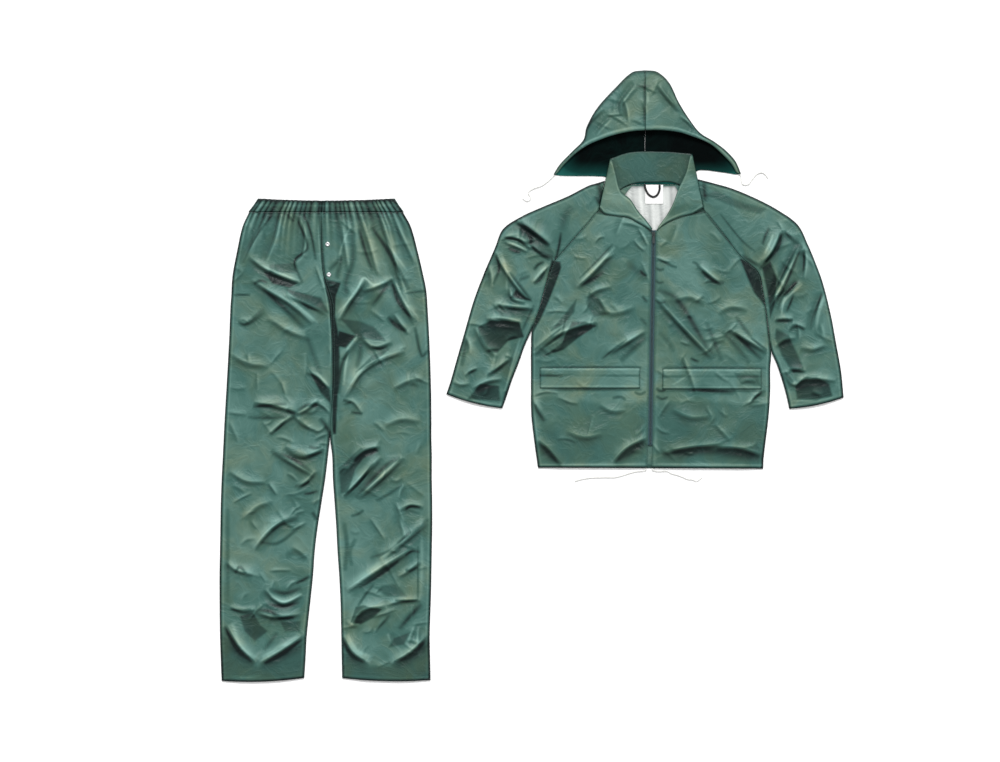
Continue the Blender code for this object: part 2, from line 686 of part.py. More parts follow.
def zip_strip(low, high, y_top, y_bottom):
    cuts = []
    for y in (y_top, y_bottom):
        cuts.append(Cut(zip_x(y) + low, y, 0, zip_x(y) + high, y, 0, 0))
    return cuts


def front_cuts(tops, sides, left):
    """A front's rows from the neck to the hem, in the order left end, right end."""
    cuts = []
    for raglan, (x, y, lift) in zip(RAGLANS, tops):
        if left:
            cuts.append(Cut(raglan.left_x, raglan.left_y, raglan.lift, x, y, lift, 0))
        else:
            cuts.append(Cut(x, y, lift, raglan.right_x, raglan.right_y, raglan.lift, 0))
    for side in sides:
        outer, inner = (side.outer_x, side.outer_y, 0), (side.inner_x, side.inner_y, side.inner_lift)
        cuts.append(Cut(*outer, *inner, 0) if left else Cut(*inner, *outer, 0))
    return cuts


def sleeve_cuts(shoulder, forearm, left):
    """A sleeve half's rows: outer edge, then the raglan or underarm edge."""
    cuts = []
    for raglan, outer in zip(RAGLANS, shoulder):
        x = raglan.left_x - SEAM_SHIFT if left else raglan.right_x + SEAM_SHIFT
        y = raglan.left_y if left else raglan.right_y
        cuts.append(Cut(*outer, x, y, raglan.lift, 0))
    return cuts + forearm


def jacket_back_cuts():
    """The back's rows from its neck seam to the hem."""
    cuts = [Cut(-112, 680.6, 0, 112, 680.6, 0, 0)]
    for row in RAGLANS:
        cuts.append(Cut(row.left_x, row.left_y, 0, row.right_x, row.right_y, 0, 0))
    for a, b in zip(FRONT_LEFT_SIDE, FRONT_RIGHT_SIDE):
        cuts.append(Cut(a.outer_x, a.outer_y, 0, b.outer_x, b.outer_y, 0, 0))
    return cuts


def flap_grid(front_grid, rows, first, last):
    """A pocket flap is made from its front's own points, moved out by one wall and a gap."""
    top, bottom = rows
    chosen = [line for line in front_grid if bottom - 0.5 <= line[first].y <= top + 0.5]
    return [[p + Vector((0, 0, BED)) for p in line[first:last + 1]] for line in chosen]


def top_of(grid, x, y, radius):
    """Highest point of a laid piece's top under a round foot."""
    points = [p for line in grid for p in line]
    wide = len(grid[0])
    faces = []
    for row in range(len(grid) - 1):
        for i in range(wide - 1):
            a = row * wide + i
            faces.append((a, a + 1, a + wide + 1, a + wide))
    tree = BVHTree.FromPolygons(points, faces)
    heights = []
    for k in range(16):
        angle = k * math.pi / 8
        above = Vector((x + radius * math.cos(angle), y + radius * math.sin(angle), 100.0))
        heights.append(tree.ray_cast(above, Vector((0.0, 0.0, -1.0)))[0].z)
    return max(heights) + CLOTH


def build_snap(suit, name, x, y, grid):
    """A press stud's cap."""
    bm = bmesh.new()
    bmesh.ops.create_cone(bm, cap_ends=True, segments=20, radius1=SNAP_RADIUS * MM,
                          radius2=SNAP_RADIUS * 0.72 * MM, depth=SNAP_HEIGHT * MM)
    snap = suit.finish_mesh(name, bm, "snap_metal", suit.trousers)
    z = top_of(grid, x, y, SNAP_RADIUS * SNAP_FOOT) + GAP + SNAP_HEIGHT / 2
    snap.location = (x * MM, y * MM, z * MM)


def build_trousers(suit):
    sides = {
        "left": (TROUSER_LEFT, -1),
        "right": (TROUSER_RIGHT, 1),
    }
    grids = {}
    for side, (cuts, sign) in sides.items():
        suit.panel(f"trouser_back_{side}", flat_points(trouser_back_cuts(cuts, sign), 2, 0.0),
                   "coated_nylon", suit.trousers)
        grids[side] = lay_points(cuts, TROUSER_ACROSS, TROUSER_STEP, TROUSER_CROWN, TROUSER_FOLDS)
        suit.panel(f"trouser_front_{side}", grids[side], "coated_nylon", suit.trousers)
    suit.shell("waistband", waistband_grid(), "coated_nylon", suit.trousers, upward=True, offset=1.0)
    build_snap(suit, "fly_snap_upper", -5.5, -107.5, grids["right"])
    build_snap(suit, "fly_snap_lower", -2.6, -180.5, grids["right"])


def build_jacket_body(suit):
    suit.panel("jacket_back", flat_points(jacket_back_cuts(), 4, 0.0), "coated_nylon", suit.jacket)
    fronts = {
        "left": (front_cuts(FRONT_LEFT_TOP, FRONT_LEFT_SIDE, True), FLAP_LEFT_ROWS, 1, FRONT_ACROSS - 1),
        "right": (front_cuts(FRONT_RIGHT_TOP, FRONT_RIGHT_SIDE, False), FLAP_RIGHT_ROWS, 1, FRONT_ACROSS - 1),
    }
    for side, (cuts, rows, first, last) in fronts.items():
        grid = lay_points(cuts, FRONT_ACROSS, FRONT_STEP, JACKET_CROWN, JACKET_FOLDS)
        suit.panel(f"jacket_front_{side}", grid, "coated_nylon", suit.jacket)
        suit.panel(f"pocket_flap_{side}", flap_grid(grid, rows, first, last), "coated_nylon", suit.jacket)
    sleeves = {
        "left": sleeve_cuts(SHOULDER_LEFT, FOREARM_LEFT, True),
        "right": sleeve_cuts(SHOULDER_RIGHT, FOREARM_RIGHT, False),
    }
    for side, cuts in sleeves.items():
        suit.panel(f"sleeve_back_{side}", flat_points(cuts, 2, 0.0), "coated_nylon", suit.jacket)
        grid = lay_points(cuts, SLEEVE_ACROSS, SLEEVE_STEP, SLEEVE_CROWN, SLEEVE_FOLDS)
        suit.panel(f"sleeve_front_{side}", grid, "coated_nylon", suit.jacket)


def build_head(suit):
    suit.shell("hood_left", hood_grid(HOOD_LEFT, 26), "coated_nylon", suit.jacket, True, -1.0)
    suit.shell("hood_right", hood_grid(HOOD_RIGHT, 26), "coated_nylon", suit.jacket, True, -1.0)
    suit.shell("collar", collar_grid(), "coated_nylon", suit.jacket, True, 1.0)
    suit.panel("neck_lining", flat_points(NECK_LINING, 2, BED), "lining", suit.jacket, LINING_THICKNESS)
    label_z = BED + LINING_THICKNESS + GAP
    suit.panel("neck_label", flat_points(NECK_LABEL, 1, label_z), "label", suit.jacket, LABEL_THICKNESS)
    suit.tube("hanger_loop", HANGER_LOOP, LOOP_RADIUS, 5.0, "black_tape", suit.jacket)


def build_slider(suit):
    """The slider's plate with a bridge over it, and the tab whose bar lies under the bridge."""
    plate_z = CHAIN_Z + CHAIN_THICKNESS + GAP
    bm = bmesh.new()
    bmesh.ops.create_cube(bm, size=1.0)
    bmesh.ops.scale(bm, vec=(SLIDER_WIDTH * MM, SLIDER_LENGTH * MM, SLIDER_PLATE * MM), verts=bm.verts)
    slider = suit.finish_mesh("zip_slider", bm, "zip_metal", suit.jacket)
    slider.location = (zip_x(SLIDER_Y) * MM, SLIDER_Y * MM, (plate_z + SLIDER_PLATE / 2) * MM)

    half, high = BRIDGE_LENGTH / 2, BRIDGE_CLEAR + BRIDGE_POST
    sunk = SLIDER_PLATE / 2
    outline = bpy.data.curves.new("bridge", "CURVE")
    outline.dimensions = "2D"
    outline.fill_mode = "BOTH"
    outline.extrude = BRIDGE_WIDTH / 2 * MM
    corners = [(-half, -sunk), (half, -sunk), (half, high - 0.8), (half - 0.8, high), (0.8 - half, high),
               (-half, high - 0.8)]
    inner = half - BRIDGE_POST
    window = [(-inner, 0.0), (-inner, BRIDGE_CLEAR), (inner, BRIDGE_CLEAR), (inner, 0.0)]
    for loop in (corners, window):
        add_loop(outline, loop)
    bridge = suit.add("bridge", outline, "zip_metal", suit.jacket)
    bridge.rotation_euler = (math.pi / 2, 0.0, math.pi / 2)
    bridge.location = (zip_x(SLIDER_Y) * MM, SLIDER_Y * MM, (plate_z + SLIDER_PLATE) * MM)
    join_curve(suit, slider, bridge)

    tab = bpy.data.curves.new("zip_pull_tab", "CURVE")
    tab.dimensions = "2D"
    tab.fill_mode = "BOTH"
    tab.extrude = TAB_HALF_THICKNESS * MM
    bar = TAB_HALF_THICKNESS
    wide, neck = TAB_HALF_WIDTH, TAB_HALF_WIDTH - 0.4
    end = [(wide * math.sin(a), -TAB_LENGTH + wide - wide * math.cos(a))
           for a in (k * math.pi / 8 for k in range(4, -5, -1))]
    add_loop(tab, [(-neck, bar), (-wide, -8.0)] + end[::-1] + [(wide, -8.0), (neck, bar)])
    add_loop(tab, [(-1.4, -bar), (1.4, -bar), (1.4, -5.0), (-1.4, -5.0)])
    pull = suit.add("zip_pull_tab", tab, "zip_metal", suit.jacket)
    axis_z = plate_z + SLIDER_PLATE + BRIDGE_CLEAR / 2
    pull.location = (zip_x(SLIDER_Y) * MM, SLIDER_Y * MM, axis_z * MM)


def add_loop(curve, corners):
    spline = curve.splines.new("POLY")
    spline.points.add(len(corners) - 1)
    for target, (x, y) in zip(spline.points, corners):
        target.co = (x * MM, y * MM, 0.0, 1.0)
    spline.use_cyclic_u = True


def join_curve(suit, base, curve_object):
    """Make a curve a welded mesh and join it to a mesh object with a Boolean union."""
    bpy.context.view_layer.update()
    graph = bpy.context.evaluated_depsgraph_get()
    mesh = bpy.data.meshes.new_from_object(curve_object.evaluated_get(graph))
    bm = bmesh.new()
    bm.from_mesh(mesh)
    bmesh.ops.remove_doubles(bm, verts=bm.verts, dist=1e-6)
    bmesh.ops.recalc_face_normals(bm, faces=bm.faces)
    bm.to_mesh(mesh)
    bm.free()
    solid = bpy.data.objects.new(curve_object.name + "_solid", mesh)
    suit.collection.objects.link(solid)
    solid.matrix_world = curve_object.matrix_world.copy()
    bpy.data.objects.remove(curve_object, do_unlink=True)
    solid.hide_render = True
    solid.display_type = "WIRE"
    union = base.modifiers.new("bridge", "BOOLEAN")
    union.operation = "UNION"
    union.object = solid


def build_zip(suit):
    top, bottom = 571.0, 55.0
    parts = {
        "zip_tape": (-TAPE_WIDTH / 2, TAPE_WIDTH / 2, TAPE_Z, TAPE_THICKNESS, "zip_tape"),
        "zip_chain": (-CHAIN_WIDTH / 2, CHAIN_WIDTH / 2, CHAIN_Z, CHAIN_THICKNESS, "zip_coil"),
    }
    for name, (low, high, z, thickness, finish) in parts.items():
        grid = flat_points(zip_strip(low, high, top, bottom), 1, z)
        suit.panel(name, grid, finish, suit.jacket, thickness)
    build_slider(suit)


def build_cords(suit):
    routes = {
        "hood_cord_left": HOOD_CORD_LEFT,
        "hood_cord_right": HOOD_CORD_RIGHT,
        "hem_cord_left": HEM_CORD_LEFT,
        "hem_cord_right": HEM_CORD_RIGHT,
    }
    for name, stations in routes.items():
        suit.tube(name, stations, CORD_RADIUS, 7.5, "cord", suit.jacket)


def main():
    clear_scene()
    suit = Suit()
    build_trousers(suit)
    build_jacket_body(suit)
    build_head(suit)
    build_zip(suit)
    build_cords(suit)


main()
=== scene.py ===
"""Two-piece rain suit of coated nylon, laid out flat and face up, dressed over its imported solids.

Sizes are in millimetres until they reach a mesh. Each garment's rows are measured from its own
origin: the trousers from the centre front of the waist, the jacket from the centre front of the hem.
Folds and shadows are drawn on one plan of both garments, 2.4 mm a unit, x to the right and y down.
"""

import json
import logging
import math
from dataclasses import dataclass
from enum import Enum
from typing import NamedTuple

import bmesh
import bpy
import numpy as np
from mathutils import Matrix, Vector
from mathutils.bvhtree import BVHTree

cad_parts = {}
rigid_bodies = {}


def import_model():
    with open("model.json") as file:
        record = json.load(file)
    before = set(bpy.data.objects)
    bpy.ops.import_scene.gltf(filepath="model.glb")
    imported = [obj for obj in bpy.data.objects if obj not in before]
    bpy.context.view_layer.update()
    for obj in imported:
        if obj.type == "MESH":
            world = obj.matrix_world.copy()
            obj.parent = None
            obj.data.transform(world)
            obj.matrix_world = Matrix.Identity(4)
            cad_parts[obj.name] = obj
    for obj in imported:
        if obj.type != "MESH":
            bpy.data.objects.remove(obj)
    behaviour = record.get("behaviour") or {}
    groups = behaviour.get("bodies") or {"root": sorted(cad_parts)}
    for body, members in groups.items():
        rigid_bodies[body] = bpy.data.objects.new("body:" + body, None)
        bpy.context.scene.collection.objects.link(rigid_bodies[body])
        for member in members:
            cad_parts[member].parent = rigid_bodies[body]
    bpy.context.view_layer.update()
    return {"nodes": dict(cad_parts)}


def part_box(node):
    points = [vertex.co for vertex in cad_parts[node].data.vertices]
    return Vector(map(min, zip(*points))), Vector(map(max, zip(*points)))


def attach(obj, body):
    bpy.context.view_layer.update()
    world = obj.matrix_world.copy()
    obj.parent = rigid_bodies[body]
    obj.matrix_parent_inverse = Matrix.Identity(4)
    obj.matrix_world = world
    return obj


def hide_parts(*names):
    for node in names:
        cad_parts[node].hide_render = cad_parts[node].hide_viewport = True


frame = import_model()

LOG = logging.getLogger("rain_suit")
MM = 0.001
PLAN_UNIT = 2.4
PLAN_ORIGIN = (531.6, 376.0)
TROUSERS_AT = (-483.5, 423.5)
JACKET_AT = (286.5, -221.5)
BODY = "suit"

Array = np.ndarray
Route = tuple[tuple[float, float], ...]


class Row(NamedTuple):
    """One line across a cloth piece, from its first edge to its second."""

    x1: float
    y1: float
    x2: float
    y2: float


class Rims(NamedTuple):
    """How much painted shade a piece takes along each of its edges, where the cloth rolls under or is sewn."""

    first: float
    second: float
    start: float
    end: float


class Fold(NamedTuple):
    """A fold line on the plan. Its steep side lies below a line that is drawn to the right."""

    route: Route
    high: float
    soft: float
    steep: float


class Shadow(NamedTuple):
    """A streak of painted shade on the plan, or of painted highlight where dark is negative."""

    route: Route
    dark: float
    wide: float


class Patch(NamedTuple):
    """A facet of the cloth that is turned from the light, painted in shade: its corners on the plan, and its soft
    rim.
    """

    corners: Route
    dark: float
    rim: float


class HoodRow(NamedTuple):
    """A line over a hood half: brim, rim (the outer fold) and seat (the neck)."""

    brim_x: float
    brim_y: float
    brim_z: float
    rim_x: float
    rim_y: float
    seat_x: float
    seat_y: float


class CollarRow(NamedTuple):
    """A line over the collar, from its neck seam to its free edge."""

    seam_x: float
    seam_y: float
    seam_z: float
    edge_x: float
    edge_y: float
    edge_z: float


class Station(NamedTuple):
    """A point on a cord's route."""

    x: float
    y: float
    z: float


class Garment(Enum):
    """The two garments and their origins."""

    TROUSERS = TROUSERS_AT
    JACKET = JACKET_AT


FLY_X = -20.6
TROUSER_LEFT = (
    Row(-194, -30.6, FLY_X - 0.3, -30.6),
    Row(-210, -66, FLY_X - 0.3, -68),
    Row(-223, -124, FLY_X - 0.3, -124),
    Row(-234, -184, -17.3, -176),
    Row(-237, -232, -3.7, -220),
    Row(-239, -262, 4.7, -254),
    Row(-242, -335, 6.7, -335),
    Row(-248, -445, 6.7, -445),
    Row(-253, -530, 1.0, -530),
    Row(-255, -570, -0.6, -570),
    Row(-257, -613, -5, -613),
    Row(-260, -671, -12, -671),
    Row(-262, -728, -21, -728),
    Row(-263, -786, -30, -786),
    Row(-264, -844, -37, -844),
    Row(-265, -901, -41, -901),
    Row(-265, -959, -47, -959),
    Row(-264, -1045, -56, -1045),
    Row(-262, -1105, -59, -1100),
    Row(-260, -1155, -62, -1148),
)
TROUSER_RIGHT = (
    Row(FLY_X + 0.3, -30.6, 175, -30.6),
    Row(FLY_X + 0.3, -68, 194, -66),
    Row(FLY_X + 0.3, -124, 210, -124),
    Row(-16.7, -176, 224, -184),
    Row(-3.1, -220, 231, -220),
    Row(5.3, -254, 234, -262),
    Row(7.3, -335, 238, -335),
    Row(7.3, -445, 242, -445),
    Row(1.6, -530, 243, -530),
    Row(0.0, -570, 243, -570),
    Row(5, -613, 244, -613),
    Row(7, -671, 244, -671),
    Row(11, -728, 245, -728),
    Row(15, -786, 245, -786),
    Row(18, -844, 244, -844),
    Row(22, -901, 243, -901),
    Row(25, -959, 242, -950),
    Row(27, -1045, 239, -1045),
    Row(28, -1100, 240, -1105),
    Row(29, -1148, 241, -1153),
)
JACKET_LEFT = (
    Row(-130, 615, -57, 606),
    Row(-138, 606, -31, 590),
    Row(-150, 590, 0.7, 568),
    Row(-178, 559, 0.4, 540),
    Row(-216, 515, -0.1, 505),
    Row(-235, 490, -0.7, 470),
    Row(-254, 432, -1.4, 425),
    Row(-266, 386, -2.2, 380),
    Row(-277, 357, -2.7, 350),
    Row(-286, 332, -3.3, 320),
    Row(-288, 285, -4.0, 285),
    Row(-288, 242, -4.7, 242),
    Row(-288, 192, -5.5, 192),
    Row(-288, 150, -6.2, 150),
    Row(-286, 115, -6.7, 115),
    Row(-278, 50, -7.9, 50),
    Row(-274, 22, -9, 22),
    Row(-271, 1.5, -9.5, 1),
)
JACKET_RIGHT = (
    Row(61, 606, 130, 617),
    Row(38, 590, 138, 607),
    Row(11.6, 568, 150, 592),
    Row(11.2, 540, 178, 557),
    Row(10.7, 505, 214, 509),
    Row(10.1, 470, 257, 470),
    Row(9.4, 425, 268, 425),
    Row(8.6, 380, 276, 375),
    Row(7.8, 330, 282, 332),
    Row(7.1, 290, 288, 283),
    Row(6.7, 265, 288, 268),
    Row(6.2, 240, 286, 240),
    Row(5.4, 190, 286, 190),
    Row(4.8, 150, 284, 150),
    Row(4.2, 115, 281, 115),
    Row(3.0, 50, 273, 50),
    Row(1.6, 22, 270, 22),
    Row(1.0, 1, 269, -1),
)
SLEEVE_LEFT = (
    Row(-111, 690, -126.5, 618),
    Row(-130, 684, -138.8, 606),
    Row(-150, 678, -150.8, 590),
    Row(-199, 653, -178.8, 559),
    Row(-258, 628, -216.8, 515),
    Row(-309, 605, -235.8, 490),
    Row(-355, 574, -254.8, 432),
    Row(-374, 530, -266.8, 386),
    Row(-386, 502, -277.8, 357),
    Row(-399, 472, -286.8, 332),
    Row(-425, 403, -304, 292),
    Row(-446, 331, -317, 255),
    Row(-468, 254, -334, 211),
    Row(-481, 208, -347, 172),
    Row(-491, 178, -357, 144),
)
SLEEVE_RIGHT = (
    Row(111, 694, 126.5, 620),
    Row(131, 689, 138.8, 607),
    Row(150, 684, 150.8, 592),
    Row(192, 672, 178.8, 557),
    Row(250, 648, 214.8, 509),
    Row(305, 619, 257.8, 470),
    Row(352, 584, 268.8, 425),
    Row(377, 535, 276.8, 375),
    Row(393, 497, 282.8, 332),
    Row(412, 445, 288.8, 283),
    Row(432, 365, 302, 250),
    Row(444, 300, 314, 214),
    Row(456, 232, 325, 175),
    Row(462, 170, 332, 143),
)
NECK_LINING = (
    Row(-46, 677, 58, 677),
    Row(-64, 650, 70, 650),
    Row(-50, 606, 58, 606),
    Row(-26, 566, 36, 566),
)
HOOD_LEFT = (
    HoodRow(-224.4, 709.2, 4.7, -234.0, 705.6, -218.4, 702.0),
    HoodRow(-208.8, 728.4, 5.2, -218.4, 729.6, -189.6, 701.3),
    HoodRow(-180.0, 756.0, 7.5, -187.2, 762.0, -156.0, 701.3),
    HoodRow(-151.2, 775.2, 9.5, -162.0, 788.4, -129.6, 700.8),
    HoodRow(-122.4, 787.7, 11.5, -154.8, 818.4, -105.6, 698.0),
    HoodRow(-96.0, 796.8, 13.0, -129.6, 864.0, -90.0, 682.0),
    HoodRow(-69.6, 803.5, 14.0, -86.4, 912.0, -62.0, 681.2),
    HoodRow(-43.2, 808.1, 14.5, -45.6, 950.0, -38.0, 681.2),
    HoodRow(-14.8, 810.0, 14.5, -14.8, 955.2, -14.8, 681.2),
)
HOOD_RIGHT = (
    HoodRow(-14.2, 810.0, 14.5, -14.2, 955.2, -14.2, 681.2),
    HoodRow(14.4, 810.5, 14.5, 14.4, 951.4, 12.0, 681.2),
    HoodRow(43.2, 808.8, 14.0, 43.2, 925.7, 38.0, 681.2),
    HoodRow(72.0, 804.0, 13.0, 67.2, 877.2, 62.0, 681.2),
    HoodRow(98.4, 795.6, 11.5, 93.6, 835.2, 90.0, 684.0),
    HoodRow(122.4, 787.2, 9.5, 117.6, 805.2, 109.2, 712.8),
    HoodRow(146.4, 774.7, 7.8, 151.2, 784.1, 129.6, 715.2),
    HoodRow(170.4, 753.6, 6.4, 178.8, 763.2, 156.0, 712.1),
    HoodRow(192.0, 730.8, 5.4, 202.8, 736.8, 182.4, 708.5),
    HoodRow(204.0, 710.4, 4.7, 216.0, 706.8, 201.6, 705.1),
)
COLLAR = (
    CollarRow(1, 570, 7.2, 3, 575, 7.6),
    CollarRow(-17, 581, 7.2, -14, 597, 8.4),
    CollarRow(-36, 592, 7.4, -32, 618, 9.0),
    CollarRow(-55, 602, 7.8, -50, 645, 9.4),
    CollarRow(-88, 606, 8.2, -74, 667, 9.6),
    CollarRow(-112, 611, 8.3, -86, 710, 9.4),
    CollarRow(-121, 621, 8.2, -94, 740, 8.4),
    CollarRow(-123, 622, 7.2, -97, 741, 7.2),
    CollarRow(-124, 622, 5.5, -98, 742, 5.5),
    CollarRow(-123, 623, 3.8, -97, 743, 3.8),
    CollarRow(-121, 624, 3.3, -94, 744, 3.3),
    CollarRow(-98, 645, 3.3, -70, 753, 3.3),
    CollarRow(-68, 672, 3.3, -50, 758, 3.3),
    CollarRow(-36, 684, 3.3, -25, 760, 3.3),
    CollarRow(10, 686, 3.3, 10, 760, 3.3),
    CollarRow(50, 686, 3.3, 48, 759, 3.3),
    CollarRow(82, 672, 3.3, 74, 757, 3.3),
    CollarRow(108, 648, 3.3, 88, 756, 3.3),
    CollarRow(121, 625, 3.3, 95, 755, 3.3),
    CollarRow(124, 624, 3.8, 98, 755, 3.8),
    CollarRow(125, 624, 5.5, 99, 754, 5.5),
    CollarRow(124, 624, 7.2, 97, 753, 7.2),
    CollarRow(121, 622, 8.2, 93, 750, 8.4),
    CollarRow(98, 610, 8.3, 84, 712, 9.6),
    CollarRow(70, 603, 8.0, 66, 672, 9.6),
    CollarRow(48, 594, 7.6, 51, 632, 9.2),
    CollarRow(28, 583, 7.3, 34, 602, 8.6),
    CollarRow(13, 570, 7.2, 16, 576, 7.6),
)
HANGER_LOOP = (
    Station(-15, 681, 5.2), Station(-14, 672, 5.2), Station(-6, 657, 5.2), Station(5, 651, 5.2),
    Station(14, 655, 5.2), Station(20, 667, 5.2), Station(20.5, 680, 5.2),
)
HOOD_CORD_LEFT = (
    Station(-232.2, 703.9, 2.4), Station(-236.5, 699.5, 2.1), Station(-243, 693, 1.8),
    Station(-251, 686, 1.6), Station(-265, 677, 1.6), Station(-283, 671, 1.6),
    Station(-295, 662, 1.6), Station(-289, 651, 1.6), Station(-291, 644, 1.6),
    Station(-298, 641.5, 1.6), Station(-308, 648, 1.6),
)
HOOD_CORD_RIGHT = (
    Station(214.0, 705.4, 2.4), Station(216.2, 700.5, 2.1), Station(216.5, 692, 1.8),
    Station(220, 682, 1.6), Station(233, 681.5, 1.6), Station(244, 695, 1.6),
    Station(254, 706, 1.6), Station(265, 710, 1.6), Station(274, 705.5, 1.6), Station(281, 696, 1.6),
)
HEM_CORD_LEFT = (
    Station(-11.4, -0.5, 3.2), Station(-11.8, -3.0, 3.0), Station(-18, -5.8, 1.9),
    Station(-35, -7.4, 1.6), Station(-53, -12, 1.6), Station(-84, -21, 1.6), Station(-112, -21.5, 1.6),
    Station(-145, -22.5, 1.6), Station(-169, -26.5, 1.6), Station(-183.5, -31, 1.6),
)
HEM_CORD_RIGHT = (
    Station(3.0, -0.5, 3.2), Station(3.5, -3.0, 3.0), Station(9.5, -5.8, 1.9), Station(18, -7.4, 1.6),
    Station(38, -6.5, 1.6), Station(49, -12, 1.6), Station(67, -17, 1.6), Station(89, -26, 1.6),
    Station(100, -27, 1.6), Station(109, -30.5, 1.6), Station(122, -22, 1.6),
)

TROUSER_FOLDS = (
    Fold(((271, 212), (258, 236), (243, 262)), 4.0, 12, 8),
    Fold(((283, 212), (276, 240), (266, 264)), 3.2, 10, 7),
    Fold(((298, 213), (306, 236), (303, 256), (292, 266)), 3.6, 11, 6),
    Fold(((340, 212), (345, 240), (350, 272)), 3.4, 11, 7),
    Fold(((361, 212), (371, 246), (380, 276)), 3.8, 11, 7),
    Fold(((380, 212), (395, 258), (409, 304)), 4.4, 13, 8),
    Fold(((392, 214), (405, 240), (416, 264)), 3.6, 11, 7),
    Fold(((250, 256), (264, 267), (284, 276), (302, 282)), 6.5, 17, 7),
    Fold(((252, 279), (264, 287), (292, 304), (314, 323)), 5.5, 15, 7),
    Fold(((286, 294), (308, 304), (328, 314)), 4.5, 12, 6),
    Fold(((268, 316), (290, 330), (312, 338)), 3.5, 16, 9),
    Fold(((239, 321), (246, 323), (256, 317), (264, 310)), 3.0, 10, 6),
    Fold(((230, 352), (248, 362), (270, 365)), 3.2, 17, 9),
    Fold(((307, 371), (318, 376), (329, 387)), 4.5, 12, 6),
    Fold(((314, 401), (324, 406), (332, 414)), 4.0, 10, 5),
    Fold(((254, 401), (276, 405), (297, 411)), 6.0, 15, 7),
    Fold(((296, 414), (306, 409), (318, 399)), 5.0, 11, 6),
    Fold(((268, 434), (281, 423), (295, 414)), 4.5, 11, 6),
    Fold(((294, 413), (304, 424), (320, 431)), 4.0, 11, 6),
    Fold(((286, 446), (296, 453), (306, 455), (324, 447)), 6.5, 16, 8),
    Fold(((274, 451), (294, 463), (316, 476)), 5.0, 14, 7),
    Fold(((230, 470), (247, 480), (266, 481)), 4.0, 16, 8),
    Fold(((296, 488), (306, 481), (316, 470)), 4.0, 10, 6),
    Fold(((244, 518), (256, 506), (272, 500)), 3.2, 16, 9),
    Fold(((253, 549), (268, 531), (282, 521), (298, 516)), 6.5, 18, 8),
    Fold(((227, 561), (237, 569), (254, 573)), 5.0, 14, 7),
    Fold(((266, 588), (275, 598), (285, 602), (302, 594)), 5.5, 14, 7),
    Fold(((256, 611), (276, 616), (301, 613)), 5.0, 12, 7),
    Fold(((230, 606), (243, 610), (256, 608)), 4.5, 10, 6),
    Fold(((228, 625), (240, 644), (257, 662)), 6.5, 18, 9),
    Fold(((259, 662), (280, 650), (304, 634)), 6.5, 18, 9),
    Fold(((338, 320), (350, 300), (365, 279)), 7.0, 17, 8),
    Fold(((362, 290), (374, 287), (394, 277)), 4.5, 12, 7),
    Fold(((392, 277), (404, 300), (416, 325)), 5.0, 14, 7),
    Fold(((395, 314), (402, 324), (410, 334)), 4.5, 12, 6),
    Fold(((342, 359), (350, 347), (359, 336)), 5.0, 13, 7),
    Fold(((362, 336), (374, 346), (392, 341)), 5.0, 14, 7),
    Fold(((344, 397), (360, 372), (379, 359), (405, 350)), 7.5, 19, 8),
    Fold(((392, 388), (408, 380), (424, 377)), 3.6, 15, 8),
    Fold(((343, 403), (353, 401), (363, 413)), 3.6, 10, 5),
    Fold(((384, 424), (402, 418), (420, 420)), 3.4, 15, 9),
    Fold(((352, 459), (364, 450), (380, 445)), 5.5, 14, 7),
    Fold(((342, 497), (360, 478), (380, 456)), 6.5, 16, 8),
    Fold(((357, 498), (380, 478), (403, 456)), 6.5, 16, 8),
    Fold(((398, 509), (410, 504), (424, 506)), 4.2, 12, 7),
    Fold(((380, 559), (404, 540), (427, 521)), 6.5, 18, 8),
    Fold(((346, 590), (380, 567), (412, 548)), 7.0, 18, 9),
    Fold(((398, 576), (408, 570), (420, 560)), 4.0, 12, 7),
    Fold(((386, 604), (402, 600), (421, 599)), 4.5, 12, 6),
    Fold(((350, 627), (362, 610), (386, 604)), 5.5, 15, 8),
    Fold(((344, 635), (354, 651), (371, 663)), 6.0, 16, 9),
    Fold(((390, 663), (409, 651), (428, 635)), 6.5, 16, 9),
)
